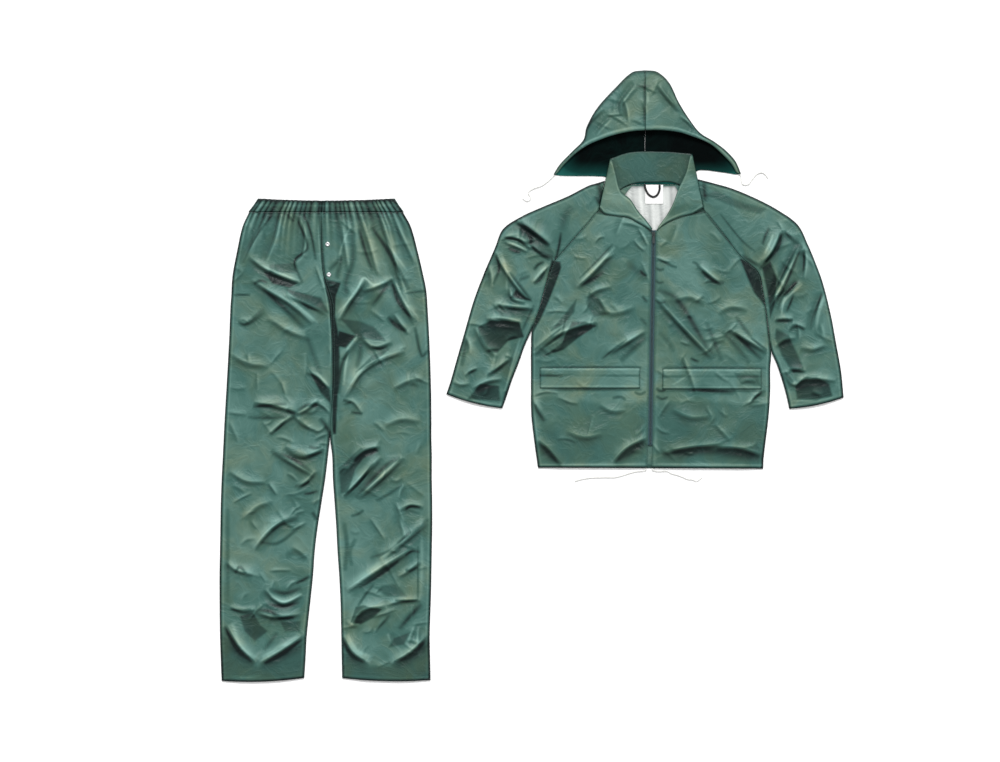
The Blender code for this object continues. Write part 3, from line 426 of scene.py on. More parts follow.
TROUSER_SHADOWS = (
    Shadow(((321, 212), (323, 260), (326, 283), (331, 306), (334, 345), (334, 400), (333, 432)), 0.50, 3.4),
    Shadow(((318, 218), (320, 250), (322, 272), (328, 302), (331, 340), (331, 366)), -0.26, 2.2),
    Shadow(((298, 221), (308, 248), (295, 261), (303, 284)), 0.46, 3.0),
    Shadow(((304, 214), (311, 233), (316, 260)), 0.46, 3.0),
    Shadow(((329, 270), (338, 262), (341, 258), (337, 279)), 0.34, 5.0),
    Shadow(((351, 228), (353, 260), (346, 283), (348, 298)), 0.30, 6.0),
    Shadow(((351, 225), (341, 250), (339, 270)), -0.20, 3.0),
    Shadow(((359, 229), (367, 256), (373, 271)), 0.46, 4.0),
    Shadow(((371, 226), (391, 256), (409, 290)), 0.48, 4.4),
    Shadow(((379, 231), (395, 254), (408, 272)), -0.22, 2.4),
    Shadow(((273, 214), (256, 238), (243, 263)), 0.38, 3.0),
    Shadow(((285, 212), (290, 218), (294, 222)), 0.30, 3.0),
    Shadow(((265, 267), (281, 274), (296, 280)), -0.26, 2.4),
    Shadow(((254, 284), (261, 281), (268, 283)), 0.46, 3.4),
    Shadow(((263, 289), (285, 309), (305, 329)), 0.34, 6.0),
    Shadow(((288, 296), (302, 309), (318, 323)), -0.24, 2.4),
    Shadow(((306, 331), (314, 356), (323, 381)), 0.20, 6.0),
    Shadow(((317, 372), (324, 380), (329, 386)), -0.26, 2.4),
    Shadow(((253, 407), (270, 405), (287, 404)), 0.46, 4.0),
    Shadow(((248, 417), (268, 418), (288, 417)), 0.32, 4.0),
    Shadow(((287, 409), (293, 413), (299, 414)), 0.44, 6.0),
    Shadow(((298, 411), (308, 405), (318, 406)), 0.46, 4.0),
    Shadow(((271, 435), (279, 428), (287, 420)), 0.26, 3.0),
    Shadow(((299, 419), (304, 424), (310, 429)), 0.30, 3.4),
    Shadow(((320, 418), (326, 426), (330, 434)), 0.42, 5.0),
    Shadow(((338, 313), (356, 293), (364, 278), (374, 285), (391, 280)), -0.30, 2.4),
    Shadow(((388, 284), (380, 296), (372, 306)), 0.36, 5.0),
    Shadow(((392, 283), (399, 303), (417, 323)), 0.42, 4.0),
    Shadow(((396, 282), (403, 300), (419, 318)), -0.26, 2.2),
    Shadow(((388, 317), (397, 326), (407, 331)), 0.56, 5.4),
    Shadow(((415, 327), (422, 356), (429, 349)), 0.40, 3.2),
    Shadow(((348, 349), (341, 369), (338, 394)), 0.46, 5.0),
    Shadow(((359, 339), (348, 356), (344, 386)), -0.28, 3.0),
    Shadow(((361, 343), (360, 356), (357, 369)), 0.28, 6.0),
    Shadow(((372, 346), (380, 349), (388, 347)), 0.30, 4.0),
    Shadow(((348, 396), (358, 376), (374, 364), (397, 354)), -0.26, 3.0),
    Shadow(((343, 400), (347, 401), (352, 402)), 0.50, 3.4),
    Shadow(((351, 412), (357, 413), (363, 414)), 0.42, 3.0),
    Shadow(((234, 295), (242, 295), (251, 295)), 0.40, 2.4),
    Shadow(((405, 294), (416, 292), (426, 291)), 0.30, 2.6),
    Shadow(((238, 322), (246, 324), (264, 309)), 0.42, 4.0),
    Shadow(((286, 447), (304, 455), (323, 452)), 0.42, 4.0),
    Shadow(((309, 446), (315, 448), (322, 447)), 0.38, 3.0),
    Shadow(((271, 451), (295, 460), (315, 475)), 0.42, 5.0),
    Shadow(((295, 486), (302, 485), (310, 481)), 0.42, 4.0),
    Shadow(((304, 494), (311, 493), (318, 491)), 0.46, 3.6),
    Shadow(((312, 512), (315, 516), (317, 520)), 0.42, 4.0),
    Shadow(((271, 530), (285, 520), (299, 516)), 0.34, 4.0),
    Shadow(((260, 542), (278, 543), (301, 526)), 0.30, 3.6),
    Shadow(((286, 556), (296, 552), (306, 560)), 0.22, 7.0),
    Shadow(((235, 573), (240, 567), (247, 573)), 0.40, 3.6),
    Shadow(((296, 583), (303, 580), (310, 576)), 0.46, 3.6),
    Shadow(((269, 589), (285, 593), (302, 588)), 0.40, 6.0),
    Shadow(((271, 596), (285, 601), (302, 594)), -0.24, 2.4),
    Shadow(((266, 604), (285, 606), (300, 602)), 0.36, 4.0),
    Shadow(((256, 610), (270, 611), (281, 617), (295, 617)), 0.44, 5.0),
    Shadow(((231, 609), (241, 610), (252, 609)), 0.40, 3.2),
    Shadow(((225, 626), (238, 649), (255, 662)), 0.42, 5.4),
    Shadow(((232, 622), (243, 647), (260, 659)), -0.16, 4.0),
    Shadow(((264, 663), (285, 651), (302, 639)), 0.42, 4.4),
    Shadow(((262, 657), (284, 645), (301, 633)), -0.16, 4.0),
    Shadow(((264, 650), (272, 640), (278, 632)), 0.24, 5.0),
    Shadow(((230, 676), (246, 677), (262, 675)), -0.18, 3.0),
    Shadow(((344, 496), (358, 483), (374, 462)), 0.46, 3.0),
    Shadow(((347, 497), (361, 484), (377, 463)), -0.22, 2.0),
    Shadow(((356, 498), (374, 478), (391, 462), (401, 458)), 0.46, 5.6),
    Shadow(((376, 501), (389, 494), (402, 485)), 0.28, 3.6),
    Shadow(((351, 516), (358, 514), (364, 510)), 0.34, 3.0),
    Shadow(((405, 510), (411, 506), (421, 507)), 0.46, 3.2),
    Shadow(((344, 522), (347, 545), (345, 571)), 0.26, 5.0),
    Shadow(((356, 538), (350, 552), (352, 566)), 0.18, 5.0),
    Shadow(((351, 588), (384, 560), (419, 530)), -0.12, 9.0),
    Shadow(((370, 558), (392, 549), (411, 530)), 0.32, 3.4),
    Shadow(((359, 588), (381, 574), (399, 561)), 0.38, 3.4),
    Shadow(((358, 606), (366, 594), (374, 584)), 0.34, 3.0),
    Shadow(((397, 543), (413, 532), (429, 519)), 0.34, 3.6),
    Shadow(((405, 555), (412, 551), (420, 552)), 0.42, 3.4),
    Shadow(((405, 570), (411, 570), (418, 567)), 0.42, 4.0),
    Shadow(((395, 600), (406, 600.5), (418, 600)), 0.56, 2.8),
    Shadow(((376, 629), (384, 621), (391, 614)), 0.28, 4.0),
    Shadow(((399, 629), (412, 614), (422, 604)), 0.42, 6.0),
    Shadow(((342, 637), (352, 655), (366, 661)), 0.46, 5.4),
    Shadow(((394, 661), (411, 654), (428, 635)), 0.42, 4.4),
    Shadow(((347, 634), (357, 650), (370, 656)), -0.16, 4.0),
    Shadow(((418, 546), (418, 574), (418, 600)), 0.26, 1.8),
    Shadow(((421, 512), (422, 556), (421, 600)), -0.12, 4.0),
    Shadow(((228, 507), (228, 556), (228, 604)), 0.16, 4.0),
    Shadow(((236, 214), (280, 217), (318, 216)), 0.12, 9.0),
    Shadow(((324, 216), (370, 217), (404, 214)), 0.12, 9.0),
)
# Painted shade on facets of the trousers turned from the light.
TROUSER_PATCHES = (
    Patch(((324, 279), (341, 283), (336, 296), (335, 316), (338, 331), (340, 356), (338, 389), (336, 434),
           (333, 434), (333, 389), (332, 339), (329, 306)), 0.50, 2.4),
    Patch(((270, 265), (295, 263), (296, 273), (270, 273)), 0.22, 3.0),
    Patch(((264, 272), (281, 278), (298, 283), (290, 288), (273, 284)), 0.42, 2.4),
    Patch(((286, 289), (321, 298), (329, 313), (308, 309)), 0.36, 3.0),
    Patch(((309, 370), (318, 377), (330, 389), (331, 404), (321, 393)), 0.42, 2.4),
    Patch(((341, 319), (359, 321), (374, 327), (386, 341), (358, 338)), 0.28, 3.0),
    Patch(((339, 331), (356, 336), (346, 348), (338, 346)), 0.52, 2.4),
    Patch(((356, 372), (372, 356), (389, 349), (374, 364)), 0.28, 3.0),
    Patch(((240, 616), (253, 612), (261, 625), (268, 631), (255, 641), (245, 631)), 0.30, 3.0),
    Patch(((281, 622), (301, 621), (300, 631), (285, 631)), 0.22, 3.0),
    Patch(((222, 634), (238, 652), (258, 667), (303, 643), (304, 681), (221, 681)), 0.20, 6.0),
    Patch(((339, 468), (361, 448), (374, 446), (379, 451), (364, 458), (356, 468), (348, 492), (341, 493)),
          0.30, 3.0),
    Patch(((374, 587), (396, 584), (407, 596), (388, 596)), 0.20, 3.0),
    Patch(((356, 607), (364, 605), (382, 609), (374, 617), (361, 624), (351, 622)), 0.38, 2.6),
    Patch(((389, 647), (394, 638), (410, 632), (404, 644)), 0.28, 3.0),
    Patch(((341, 652), (366, 666), (395, 666), (429, 642), (430, 681), (342, 681)), 0.22, 6.0),
)
BODY_FOLDS = (
    Fold(((561, 253), (552, 262), (545, 290), (533, 330)), 2.6, 12, 6),
    Fold(((576, 287), (592, 272), (609, 254)), 5.5, 15, 8),
    Fold(((586, 297), (596, 290), (611, 286)), 3.6, 12, 7),
    Fold(((532, 354), (546, 342), (564, 328)), 6.5, 16, 8),
    Fold(((551, 337), (572, 328), (597, 321)), 5.5, 15, 8),
    Fold(((608, 353), (624, 343), (645, 330)), 5.5, 14, 7),
    Fold(((598, 310), (616, 312), (634, 306)), 3.0, 16, 9),
    Fold(((534, 398), (538, 409), (545, 421)), 4.0, 10, 5),
    Fold(((600, 404), (612, 410), (626, 409)), 3.0, 14, 8),
    Fold(((537, 438), (549, 448), (564, 466)), 4.5, 14, 8),
    Fold(((611, 463), (626, 447), (648, 436)), 5.0, 14, 8),
    Fold(((566, 430), (584, 436), (602, 433)), 3.0, 16, 9),
    Fold(((634, 240), (639, 246), (645, 251)), 2.6, 8, 4),
    Fold(((638, 228), (643, 236), (648, 246)), 2.6, 7, 4),
    Fold(((656, 257), (663, 260), (671, 262)), 2.6, 8, 4),
    Fold(((655, 296), (684, 328), (714, 359)), 6.0, 17, 7),
    Fold(((699, 265), (710, 275), (722, 284)), 5.0, 12, 6),
    Fold(((728, 328), (748, 340), (768, 352)), 6.0, 15, 7),
    Fold(((672, 300), (688, 296), (706, 302)), 2.8, 16, 9),
    Fold(((714, 212), (731, 232), (751, 253)), 2.4, 8, 5),
    Fold(((741, 252), (749, 260), (762, 266)), 3.6, 9, 5),
    Fold(((716, 312), (730, 306), (748, 308)), 3.2, 15, 9),
    Fold(((683, 356), (690, 374), (697, 394)), 3.6, 10, 6),
    Fold(((739, 383), (747, 380), (756, 381)), 2.6, 8, 5),
    Fold(((747, 404), (754, 397), (761, 391)), 3.6, 9, 5),
    Fold(((672, 408), (690, 416), (712, 415)), 3.0, 15, 9),
    Fold(((661, 452), (690, 446), (722, 443)), 4.6, 14, 8),
    Fold(((716, 446), (740, 447), (762, 454)), 4.6, 14, 8),
    Fold(((644, 424), (640, 430), (634, 434)), 1.8, 6, 4),
    Fold(((645, 431), (641, 437), (634, 441)), 1.8, 6, 4),
    Fold(((656, 426), (662, 431), (670, 433)), 1.8, 6, 4),
)
BODY_SHADOWS = (
    Shadow(((597, 211), (580, 231), (563, 251)), 0.22, 2.0),
    Shadow(((704, 212), (731, 244), (746, 255)), 0.26, 2.0),
    Shadow(((579, 279), (596, 262), (613, 244)), 0.34, 2.2),
    Shadow(((582, 281), (598, 265), (615, 247)), -0.24, 3.0),
    Shadow(((580, 286), (592, 280), (604, 272)), 0.32, 5.0),
    Shadow(((534, 351), (551, 337), (565, 326)), 0.54, 3.2),
    Shadow(((536, 353), (562, 337), (567, 327)), -0.28, 3.0),
    Shadow(((602, 359), (614, 349), (627, 340)), 0.46, 2.8),
    Shadow(((620, 361), (632, 350), (646, 337)), 0.28, 6.5),
    Shadow(((626, 262), (640, 274), (646, 280)), 0.20, 9.0),
    Shadow(((701, 271), (713, 281), (724, 283)), 0.40, 5.0),
    Shadow(((657, 290), (674, 297), (688, 315), (704, 344), (715, 358)), 0.40, 6.0),
    Shadow(((706, 322), (714, 342), (722, 362)), 0.24, 5.0),
    Shadow(((735, 316), (743, 327), (751, 338)), 0.28, 4.0),
    Shadow(((750, 338), (758, 344), (767, 351)), 0.54, 2.8),
    Shadow(((734, 332), (748, 347), (762, 360)), 0.36, 5.0),
    Shadow(((722, 331), (737, 348), (750, 363)), 0.26, 5.0),
    Shadow(((657, 259), (667, 264), (677, 268)), 0.34, 2.6),
    Shadow(((692, 262), (696, 264), (699, 268)), 0.26, 3.0),
    Shadow(((659, 332), (668, 342), (674, 352)), 0.16, 4.0),
    Shadow(((690, 358), (694, 360), (699, 362)), 0.46, 3.0),
    Shadow(((691, 373), (682, 379), (672, 385)), -0.26, 2.4),
    Shadow(((539, 375), (551, 375.5), (563, 376)), 0.46, 3.0),
    Shadow(((541, 367), (590, 367), (642, 367)), 0.38, 2.0),
    Shadow(((541, 389.5), (590, 389.5), (642, 389.5)), 0.42, 2.8),
    Shadow(((661, 367.5), (712, 367.5), (766, 368)), 0.38, 2.0),
    Shadow(((661, 390.5), (712, 390.5), (766, 391)), 0.34, 2.8),
    Shadow(((692, 389), (712, 391), (734, 393)), 0.40, 5.0),
    Shadow(((751, 401), (756, 396), (762, 391)), 0.58, 3.2),
    Shadow(((535, 404), (539, 411), (545, 421)), 0.46, 4.0),
    Shadow(((612, 398), (620, 397), (626, 400)), 0.34, 3.0),
    Shadow(((634, 392), (640, 394), (646, 392)), 0.30, 3.0),
    Shadow(((537, 444), (549, 452), (562, 464)), 0.28, 12.0),
    Shadow(((614, 462), (630, 451), (647, 443)), 0.28, 12.0),
    Shadow(((661, 454), (710, 451), (764, 458)), 0.26, 12.0),
    Shadow(((540, 465), (590, 464.5), (646, 464)), -0.20, 2.2),
    Shadow(((657, 464), (710, 464.5), (763, 465)), -0.20, 2.2),
    Shadow(((640, 270), (643, 274), (647, 276)), 0.40, 3.4),
    Shadow(((642, 296), (645, 300), (648, 302)), 0.36, 3.0),
    Shadow(((655, 268), (660, 270), (664, 269)), 0.36, 3.0),
    Shadow(((655, 280), (659, 283), (664, 282)), 0.34, 2.6),
    Shadow(((655, 300), (660, 303), (666, 302)), 0.30, 2.6),
    Shadow(((640, 318), (644, 322), (647, 326)), 0.24, 3.0),
    Shadow(((656, 388), (660, 391), (666, 390)), 0.44, 3.0),
    Shadow(((656, 396), (662, 399), (668, 397)), 0.40, 2.6),
    Shadow(((652, 234), (648, 229), (644, 224)), 0.30, 3.0),
    Shadow(((642, 218), (650, 228), (655, 236)), 0.24, 5.0),
)
# Painted shade on facets of the jacket body turned from the light.
BODY_PATCHES = (
    Patch(((553, 261), (560, 262), (561, 268), (556, 282), (549, 300), (541, 318), (534, 331), (536, 312),
           (543, 296), (546, 280)), 0.56, 2.4),
    Patch(((740, 259), (751, 264), (764, 270), (768, 284), (770, 296), (776, 306), (774, 330), (771, 350),
           (768, 336), (765, 306), (754, 293), (747, 277)), 0.52, 3.0),
    Patch(((544, 356), (562, 343), (572, 322), (585, 322), (596, 326), (578, 338), (563, 350)), 0.40, 2.6),
    Patch(((551, 331), (565, 314), (576, 300), (574, 312), (564, 324)), 0.30, 3.0),
    Patch(((589, 292), (600, 300), (610, 314), (594, 317), (586, 304)), 0.24, 3.4),
    Patch(((658, 300), (676, 300), (690, 320), (700, 344), (684, 330), (668, 312)), 0.16, 5.0),
    Patch(((540, 394), (600, 404), (646, 402), (646, 462), (540, 462)), 0.10, 9.0),
    Patch(((660, 404), (712, 402), (766, 406), (764, 462), (657, 462)), 0.12, 9.0),
    Patch(((734, 373), (758, 375), (760, 386), (740, 383)), 0.30, 3.0),
)
SLEEVE_FOLDS = (
    Fold(((516, 219), (533, 231), (551, 245)), 7.5, 15, 7),
    Fold(((505, 236), (519, 239), (532, 249)), 5.0, 11, 5),
    Fold(((504, 241), (514, 245), (528, 251)), 4.5, 9, 5),
    Fold(((531, 244), (540, 252), (551, 259)), 4.0, 9, 5),
    Fold(((532, 283), (540, 274), (549, 265)), 5.0, 10, 5),
    Fold(((494, 249), (503, 266), (516, 285), (529, 300)), 5.5, 13, 6),
    Fold(((488, 262), (492, 276), (492, 288)), 3.6, 12, 7),
    Fold(((510, 288), (513, 298), (526, 302)), 4.6, 10, 6),
    Fold(((494, 303), (512, 306), (535, 308)), 5.0, 12, 7),
    Fold(((486, 318), (503, 318), (522, 322)), 6.5, 14, 8),
    Fold(((476, 327), (486, 346), (498, 356)), 4.5, 12, 7),
    Fold(((485, 376), (497, 368), (511, 357)), 5.0, 12, 6),
    Fold(((464, 375), (470, 371), (477, 368)), 3.4, 9, 5),
    Fold(((466, 336), (470, 345), (470, 354)), 3.2, 9, 6),
    Fold(((520, 338), (512, 364), (505, 391)), 2.6, 8, 5),
    Fold(((472, 388), (486, 381), (502, 378)), 5.0, 13, 7),
    Fold(((452, 380), (460, 384), (470, 383)), 3.0, 10, 6),
    Fold(((504, 391), (516, 388), (524, 380)), 2.6, 10, 6),
    Fold(((757, 269), (769, 254), (776, 240), (782, 229)), 7.0, 14, 7),
    Fold(((786, 232), (792, 238), (800, 243)), 3.6, 8, 5),
    Fold(((802, 242), (792, 262), (777, 292), (769, 307)), 6.5, 14, 7),
    Fold(((802, 242), (806, 259), (804, 279)), 3.6, 10, 6),
    Fold(((801, 281), (784, 298), (779, 311)), 5.0, 11, 6),
    Fold(((824, 294), (815, 316), (812, 331)), 4.6, 12, 6),
    Fold(((774, 320), (783, 318), (793, 319)), 4.6, 10, 5),
    Fold(((787, 330), (795, 325), (806, 328)), 4.0, 9, 5),
    Fold(((774, 346), (784, 339), (796, 337)), 3.6, 12, 7),
    Fold(((800, 346), (812, 348), (824, 344)), 3.2, 13, 8),
    Fold(((788, 368), (796, 369), (806, 370)), 4.0, 10, 5),
    Fold(((784, 373), (794, 384), (807, 375)), 4.0, 11, 6),
    Fold(((796, 380), (816, 378), (836, 380)), 5.0, 13, 7),
    Fold(((772, 352), (776, 372), (777, 392)), 2.8, 9, 6),
)
SLEEVE_SHADOWS = (
    Shadow(((597, 180), (600, 190), (600, 204)), 0.46, 6.0),
    Shadow(((595, 196), (598, 202), (600, 206)), 0.30, 4.0),
    Shadow(((704, 181), (704, 190), (705, 202)), 0.40, 6.0),
    Shadow(((561, 231), (566, 214), (572, 206)), 0.20, 9.0),
    Shadow(((561, 232), (559, 246), (555, 262)), 0.50, 3.4),
    Shadow(((519, 221), (534, 232), (550, 245)), 0.60, 3.8),
    Shadow(((524, 226), (530, 236), (531, 245)), 0.52, 4.0),
    Shadow(((504, 238), (516, 239), (529, 245)), 0.48, 3.2),
    Shadow(((506, 243), (516, 246), (527, 251)), -0.26, 2.4),
    Shadow(((508, 248), (514, 251), (521, 253)), 0.44, 5.0),
    Shadow(((531, 247), (541, 253), (552, 259)), 0.48, 5.0),
    Shadow(((534, 270), (538, 265), (544, 262)), 0.50, 3.2),
    Shadow(((534, 281), (540, 274), (546, 267)), -0.34, 2.6),
    Shadow(((534, 284), (540, 280), (545, 272)), 0.40, 3.0),
    Shadow(((509, 272), (519, 285), (531, 301)), 0.46, 4.0),
    Shadow(((496, 253), (499, 269), (493, 285)), 0.38, 3.2),
    Shadow(((501, 252), (506, 270), (507, 294)), -0.16, 3.2),
    Shadow(((519, 280), (525, 278), (530, 276)), 0.26, 3.6),
    Shadow(((534, 305), (528, 318), (522, 331)), 0.32, 3.0),
    Shadow(((491, 318), (496, 320), (501, 321)), -0.30, 2.4),
    Shadow(((466, 337), (464, 352), (462, 366)), 0.26, 5.0),
    Shadow(((487, 375), (498, 368), (508, 360)), 0.46, 3.4),
    Shadow(((468, 373), (472, 371), (477, 369)), 0.38, 3.2),
    Shadow(((448, 396), (474, 401), (500, 407)), -0.18, 2.4),
    Shadow(((502, 402), (508, 390), (513, 376)), 0.30, 5.0),
    Shadow(((780, 232), (778, 246), (769, 257), (759, 265)), 0.60, 4.6),
    Shadow(((773, 234), (769, 244), (764, 254)), -0.34, 2.6),
    Shadow(((769, 228), (765, 236), (762, 245)), 0.44, 3.2),
    Shadow(((784, 232), (791, 237), (799, 241)), 0.46, 2.8),
    Shadow(((801, 244), (794, 263), (782, 290), (772, 306)), 0.56, 4.2),
    Shadow(((804, 248), (804, 260), (803, 272)), 0.34, 3.0),
    Shadow(((796, 282), (790, 290), (784, 297)), 0.60, 4.6),
    Shadow(((802, 284), (784, 301), (781, 315)), -0.32, 2.2),
    Shadow(((793, 295), (790, 303), (786, 312)), 0.46, 3.2),
    Shadow(((822, 292), (815, 315), (813, 328)), 0.38, 2.8),
    Shadow(((825, 294), (818, 316), (816, 330)), -0.14, 2.6),
    Shadow(((775, 320), (784, 321), (793, 320)), 0.54, 3.4),
    Shadow(((789, 328), (795, 325), (804, 330)), 0.50, 2.8),
    Shadow(((785, 373), (789, 378), (793, 383)), 0.44, 3.2),
    Shadow(((790, 401), (812, 400), (833, 397)), -0.16, 2.4),
    Shadow(((720, 214), (741, 240), (755, 252)), 0.30, 2.2),
    Shadow(((742, 255), (752, 262), (762, 268)), 0.40, 4.0),
    Shadow(((792, 370), (797, 371), (804, 372)), 0.26, 3.4),
)
# Painted shade on facets of the sleeves turned from the light.
SLEEVE_PATCHES = (
    Patch(((490, 321), (505, 322), (519, 322), (524, 337), (508, 341), (497, 353), (489, 352), (480, 338),
           (478, 327)), 0.42, 2.4),
    Patch(((472, 394), (480, 384), (499, 386), (500, 401), (468, 399)), 0.36, 3.0),
    Patch(((510, 298), (516, 290), (524, 296), (532, 301)), 0.42, 2.4),
    Patch(((500, 306), (520, 308), (531, 306), (526, 318), (500, 318)), 0.14, 4.0),
    Patch(((516, 222), (530, 228), (548, 244), (556, 258), (548, 258), (530, 246), (522, 236)), 0.18, 3.4),
    Patch(((552, 258), (556, 266), (548, 300), (536, 326), (540, 306), (546, 284)), 0.50, 2.6),
    Patch(((776, 329), (788, 335), (798, 356), (803, 369), (793, 373), (782, 356), (775, 338)), 0.34, 3.0),
    Patch(((795, 387), (803, 377), (816, 377), (829, 384), (832, 396), (816, 400), (797, 399)), 0.38, 3.0),
    Patch(((702, 196), (716, 191), (743, 203), (766, 209), (760, 214), (737, 208), (713, 198)), 0.20, 4.0),
    Patch(((762, 268), (770, 262), (776, 276), (774, 306), (770, 318), (768, 296)), 0.42, 3.0),
)
HOOD_FOLDS = (
    Fold(((612, 119), (603, 128), (596, 136)), 3.0, 8, 6),
    Fold(((636, 85), (626, 98), (621, 106), (623, 117)), 4.0, 10, 6),
    Fold(((623, 98), (627, 110), (629, 124)), 3.0, 8, 5),
    Fold(((658, 85), (666, 96), (679, 111)), 4.5, 11, 6),
    Fold(((680, 116), (688, 122), (696, 130)), 3.0, 8, 5),
    Fold(((580, 132), (590, 120), (603, 108)), 3.4, 11, 7),
    Fold(((642, 100), (646, 112), (645, 127)), 2.2, 8, 5),
)
HOOD_SHADOWS = (
    Shadow(((636, 86.5), (644, 87), (651, 86.5)), 0.30, 3.0),
    Shadow(((643.7, 80), (643.7, 100), (643.7, 128)), 0.26, 2.2),
    Shadow(((647.6, 92), (647.8, 98), (647.6, 104)), -0.20, 2.2),
    Shadow(((637, 88), (627, 100), (622, 107), (625, 117)), 0.22, 4.0),
    Shadow(((661, 87), (669, 98), (680, 113)), 0.22, 4.0),
    Shadow(((608, 80), (645, 88), (682, 92)), 0.06, 16.0),
    Shadow(((649, 146), (650, 146.3), (651, 146.4)), -0.30, 2.4),
)


def ease(share: Array) -> Array:
    """Ease from 0 to 1 with flat ends."""
    clipped = np.clip(share, 0.0, 1.0)
    return clipped * clipped * (3.0 - 2.0 * clipped)


def curve_through(points: Array, pieces: int) -> Array:
    """Points on one smooth curve through some others.

    Args:
        points: The points, one a row.
        pieces: How many steps each span is cut into.

    Returns:
        The curve's points, one a row, the given ones among them.
    """
    chord = np.linalg.norm(np.diff(points, axis=0), axis=1)
    travelled = np.concatenate([[0.0], np.cumsum(np.maximum(chord, 1e-6))])
    last = len(points) - 1
    low, high = np.maximum(np.arange(last + 1) - 1, 0), np.minimum(np.arange(last + 1) + 1, last)
    slopes = (points[high] - points[low]) / (travelled[high] - travelled[low])[:, None]
    out = []
    for i in range(last):
        span = travelled[i + 1] - travelled[i]
        t = (np.arange(pieces) / pieces)[:, None]
        out.append(
            points[i] * (2 * t**3 - 3 * t**2 + 1)
            + slopes[i] * span * (t**3 - 2 * t**2 + t)
            + points[i + 1] * (3 * t**2 - 2 * t**3)
            + slopes[i + 1] * span * (t**3 - t**2)
        )
    out.append(points[-1:])
    return np.concatenate(out)


def spaced_curve(points: Array, spacing: float) -> Array:
    """Points at an even spacing on a smooth curve through some others.

    Args:
        points: The points, one a row.
        spacing: About how far apart the new points lie.

    Returns:
        The new points, one a row.
    """
    fine = curve_through(points, 24)
    travelled = np.concatenate([[0.0], np.cumsum(np.linalg.norm(np.diff(fine, axis=0), axis=1))])
    count = max(2, round(travelled[-1] / spacing))
    wanted = np.linspace(0.0, travelled[-1], count + 1)
    return np.stack([np.interp(wanted, travelled, fine[:, k]) for k in range(fine.shape[1])], axis=1)


def blur(field: Array, reach: int) -> Array:
    """A grid's values averaged with their neighbours.

    Args:
        field: The grid of values.
        reach: How many neighbours on each side take part.

    Returns:
        The averaged grid, of the same size.
    """
    if reach < 1:
        return field
    out = field
    for axis in (0, 1):
        for _ in range(2):
            padded = np.concatenate(
                [np.repeat(out.take([0], axis), reach + 1, axis), out, np.repeat(out.take([-1], axis), reach, axis)],
                axis,
            )
            total = np.cumsum(padded, axis=axis)
            wide = 2 * reach + 1
            count = out.shape[axis]
            high = total.take(range(wide, wide + count), axis)
            low = total.take(range(0, count), axis)
            out = (high - low) / wide
    return out


def to_plan(points: Array, garment: Garment) -> Array:
    """A garment's millimetres as units of the plan."""
    x = (points[..., 0] + garment.value[0]) / PLAN_UNIT + PLAN_ORIGIN[0]
    y = PLAN_ORIGIN[1] - (points[..., 1] + garment.value[1]) / PLAN_UNIT
    return np.stack([x, y], axis=-1)


def beside_route(points: Array, route: Array) -> tuple[Array, Array]:
    """How far points lie from a route, and how far along it.

    Args:
        points: Points on the plan, one a row.
        route: The route's points, one a row.

    Returns:
        The distance, which is positive on the steep side, and the share of the route behind.
    """
    best = np.full(len(points), 1e9)
    share = np.zeros(len(points))
    lengths = np.linalg.norm(np.diff(route, axis=0), axis=1)
    total, behind = lengths.sum(), 0.0
    for start, step, length in zip(route, np.diff(route, axis=0), lengths):
        rel = points - start
        raw = (rel @ step) / length**2
        t = np.clip(raw, 0.0, 1.0)
        away = rel - t[:, None] * step
        side = np.sign(step[0] * rel[:, 1] - step[1] * rel[:, 0])
        distance = np.hypot(away[:, 0], away[:, 1])
        nearer = distance < np.abs(best)
        best = np.where(nearer, distance * side, best)
        share = np.where(nearer, (behind + t * length) / total, share)
        behind += length
    return best, share


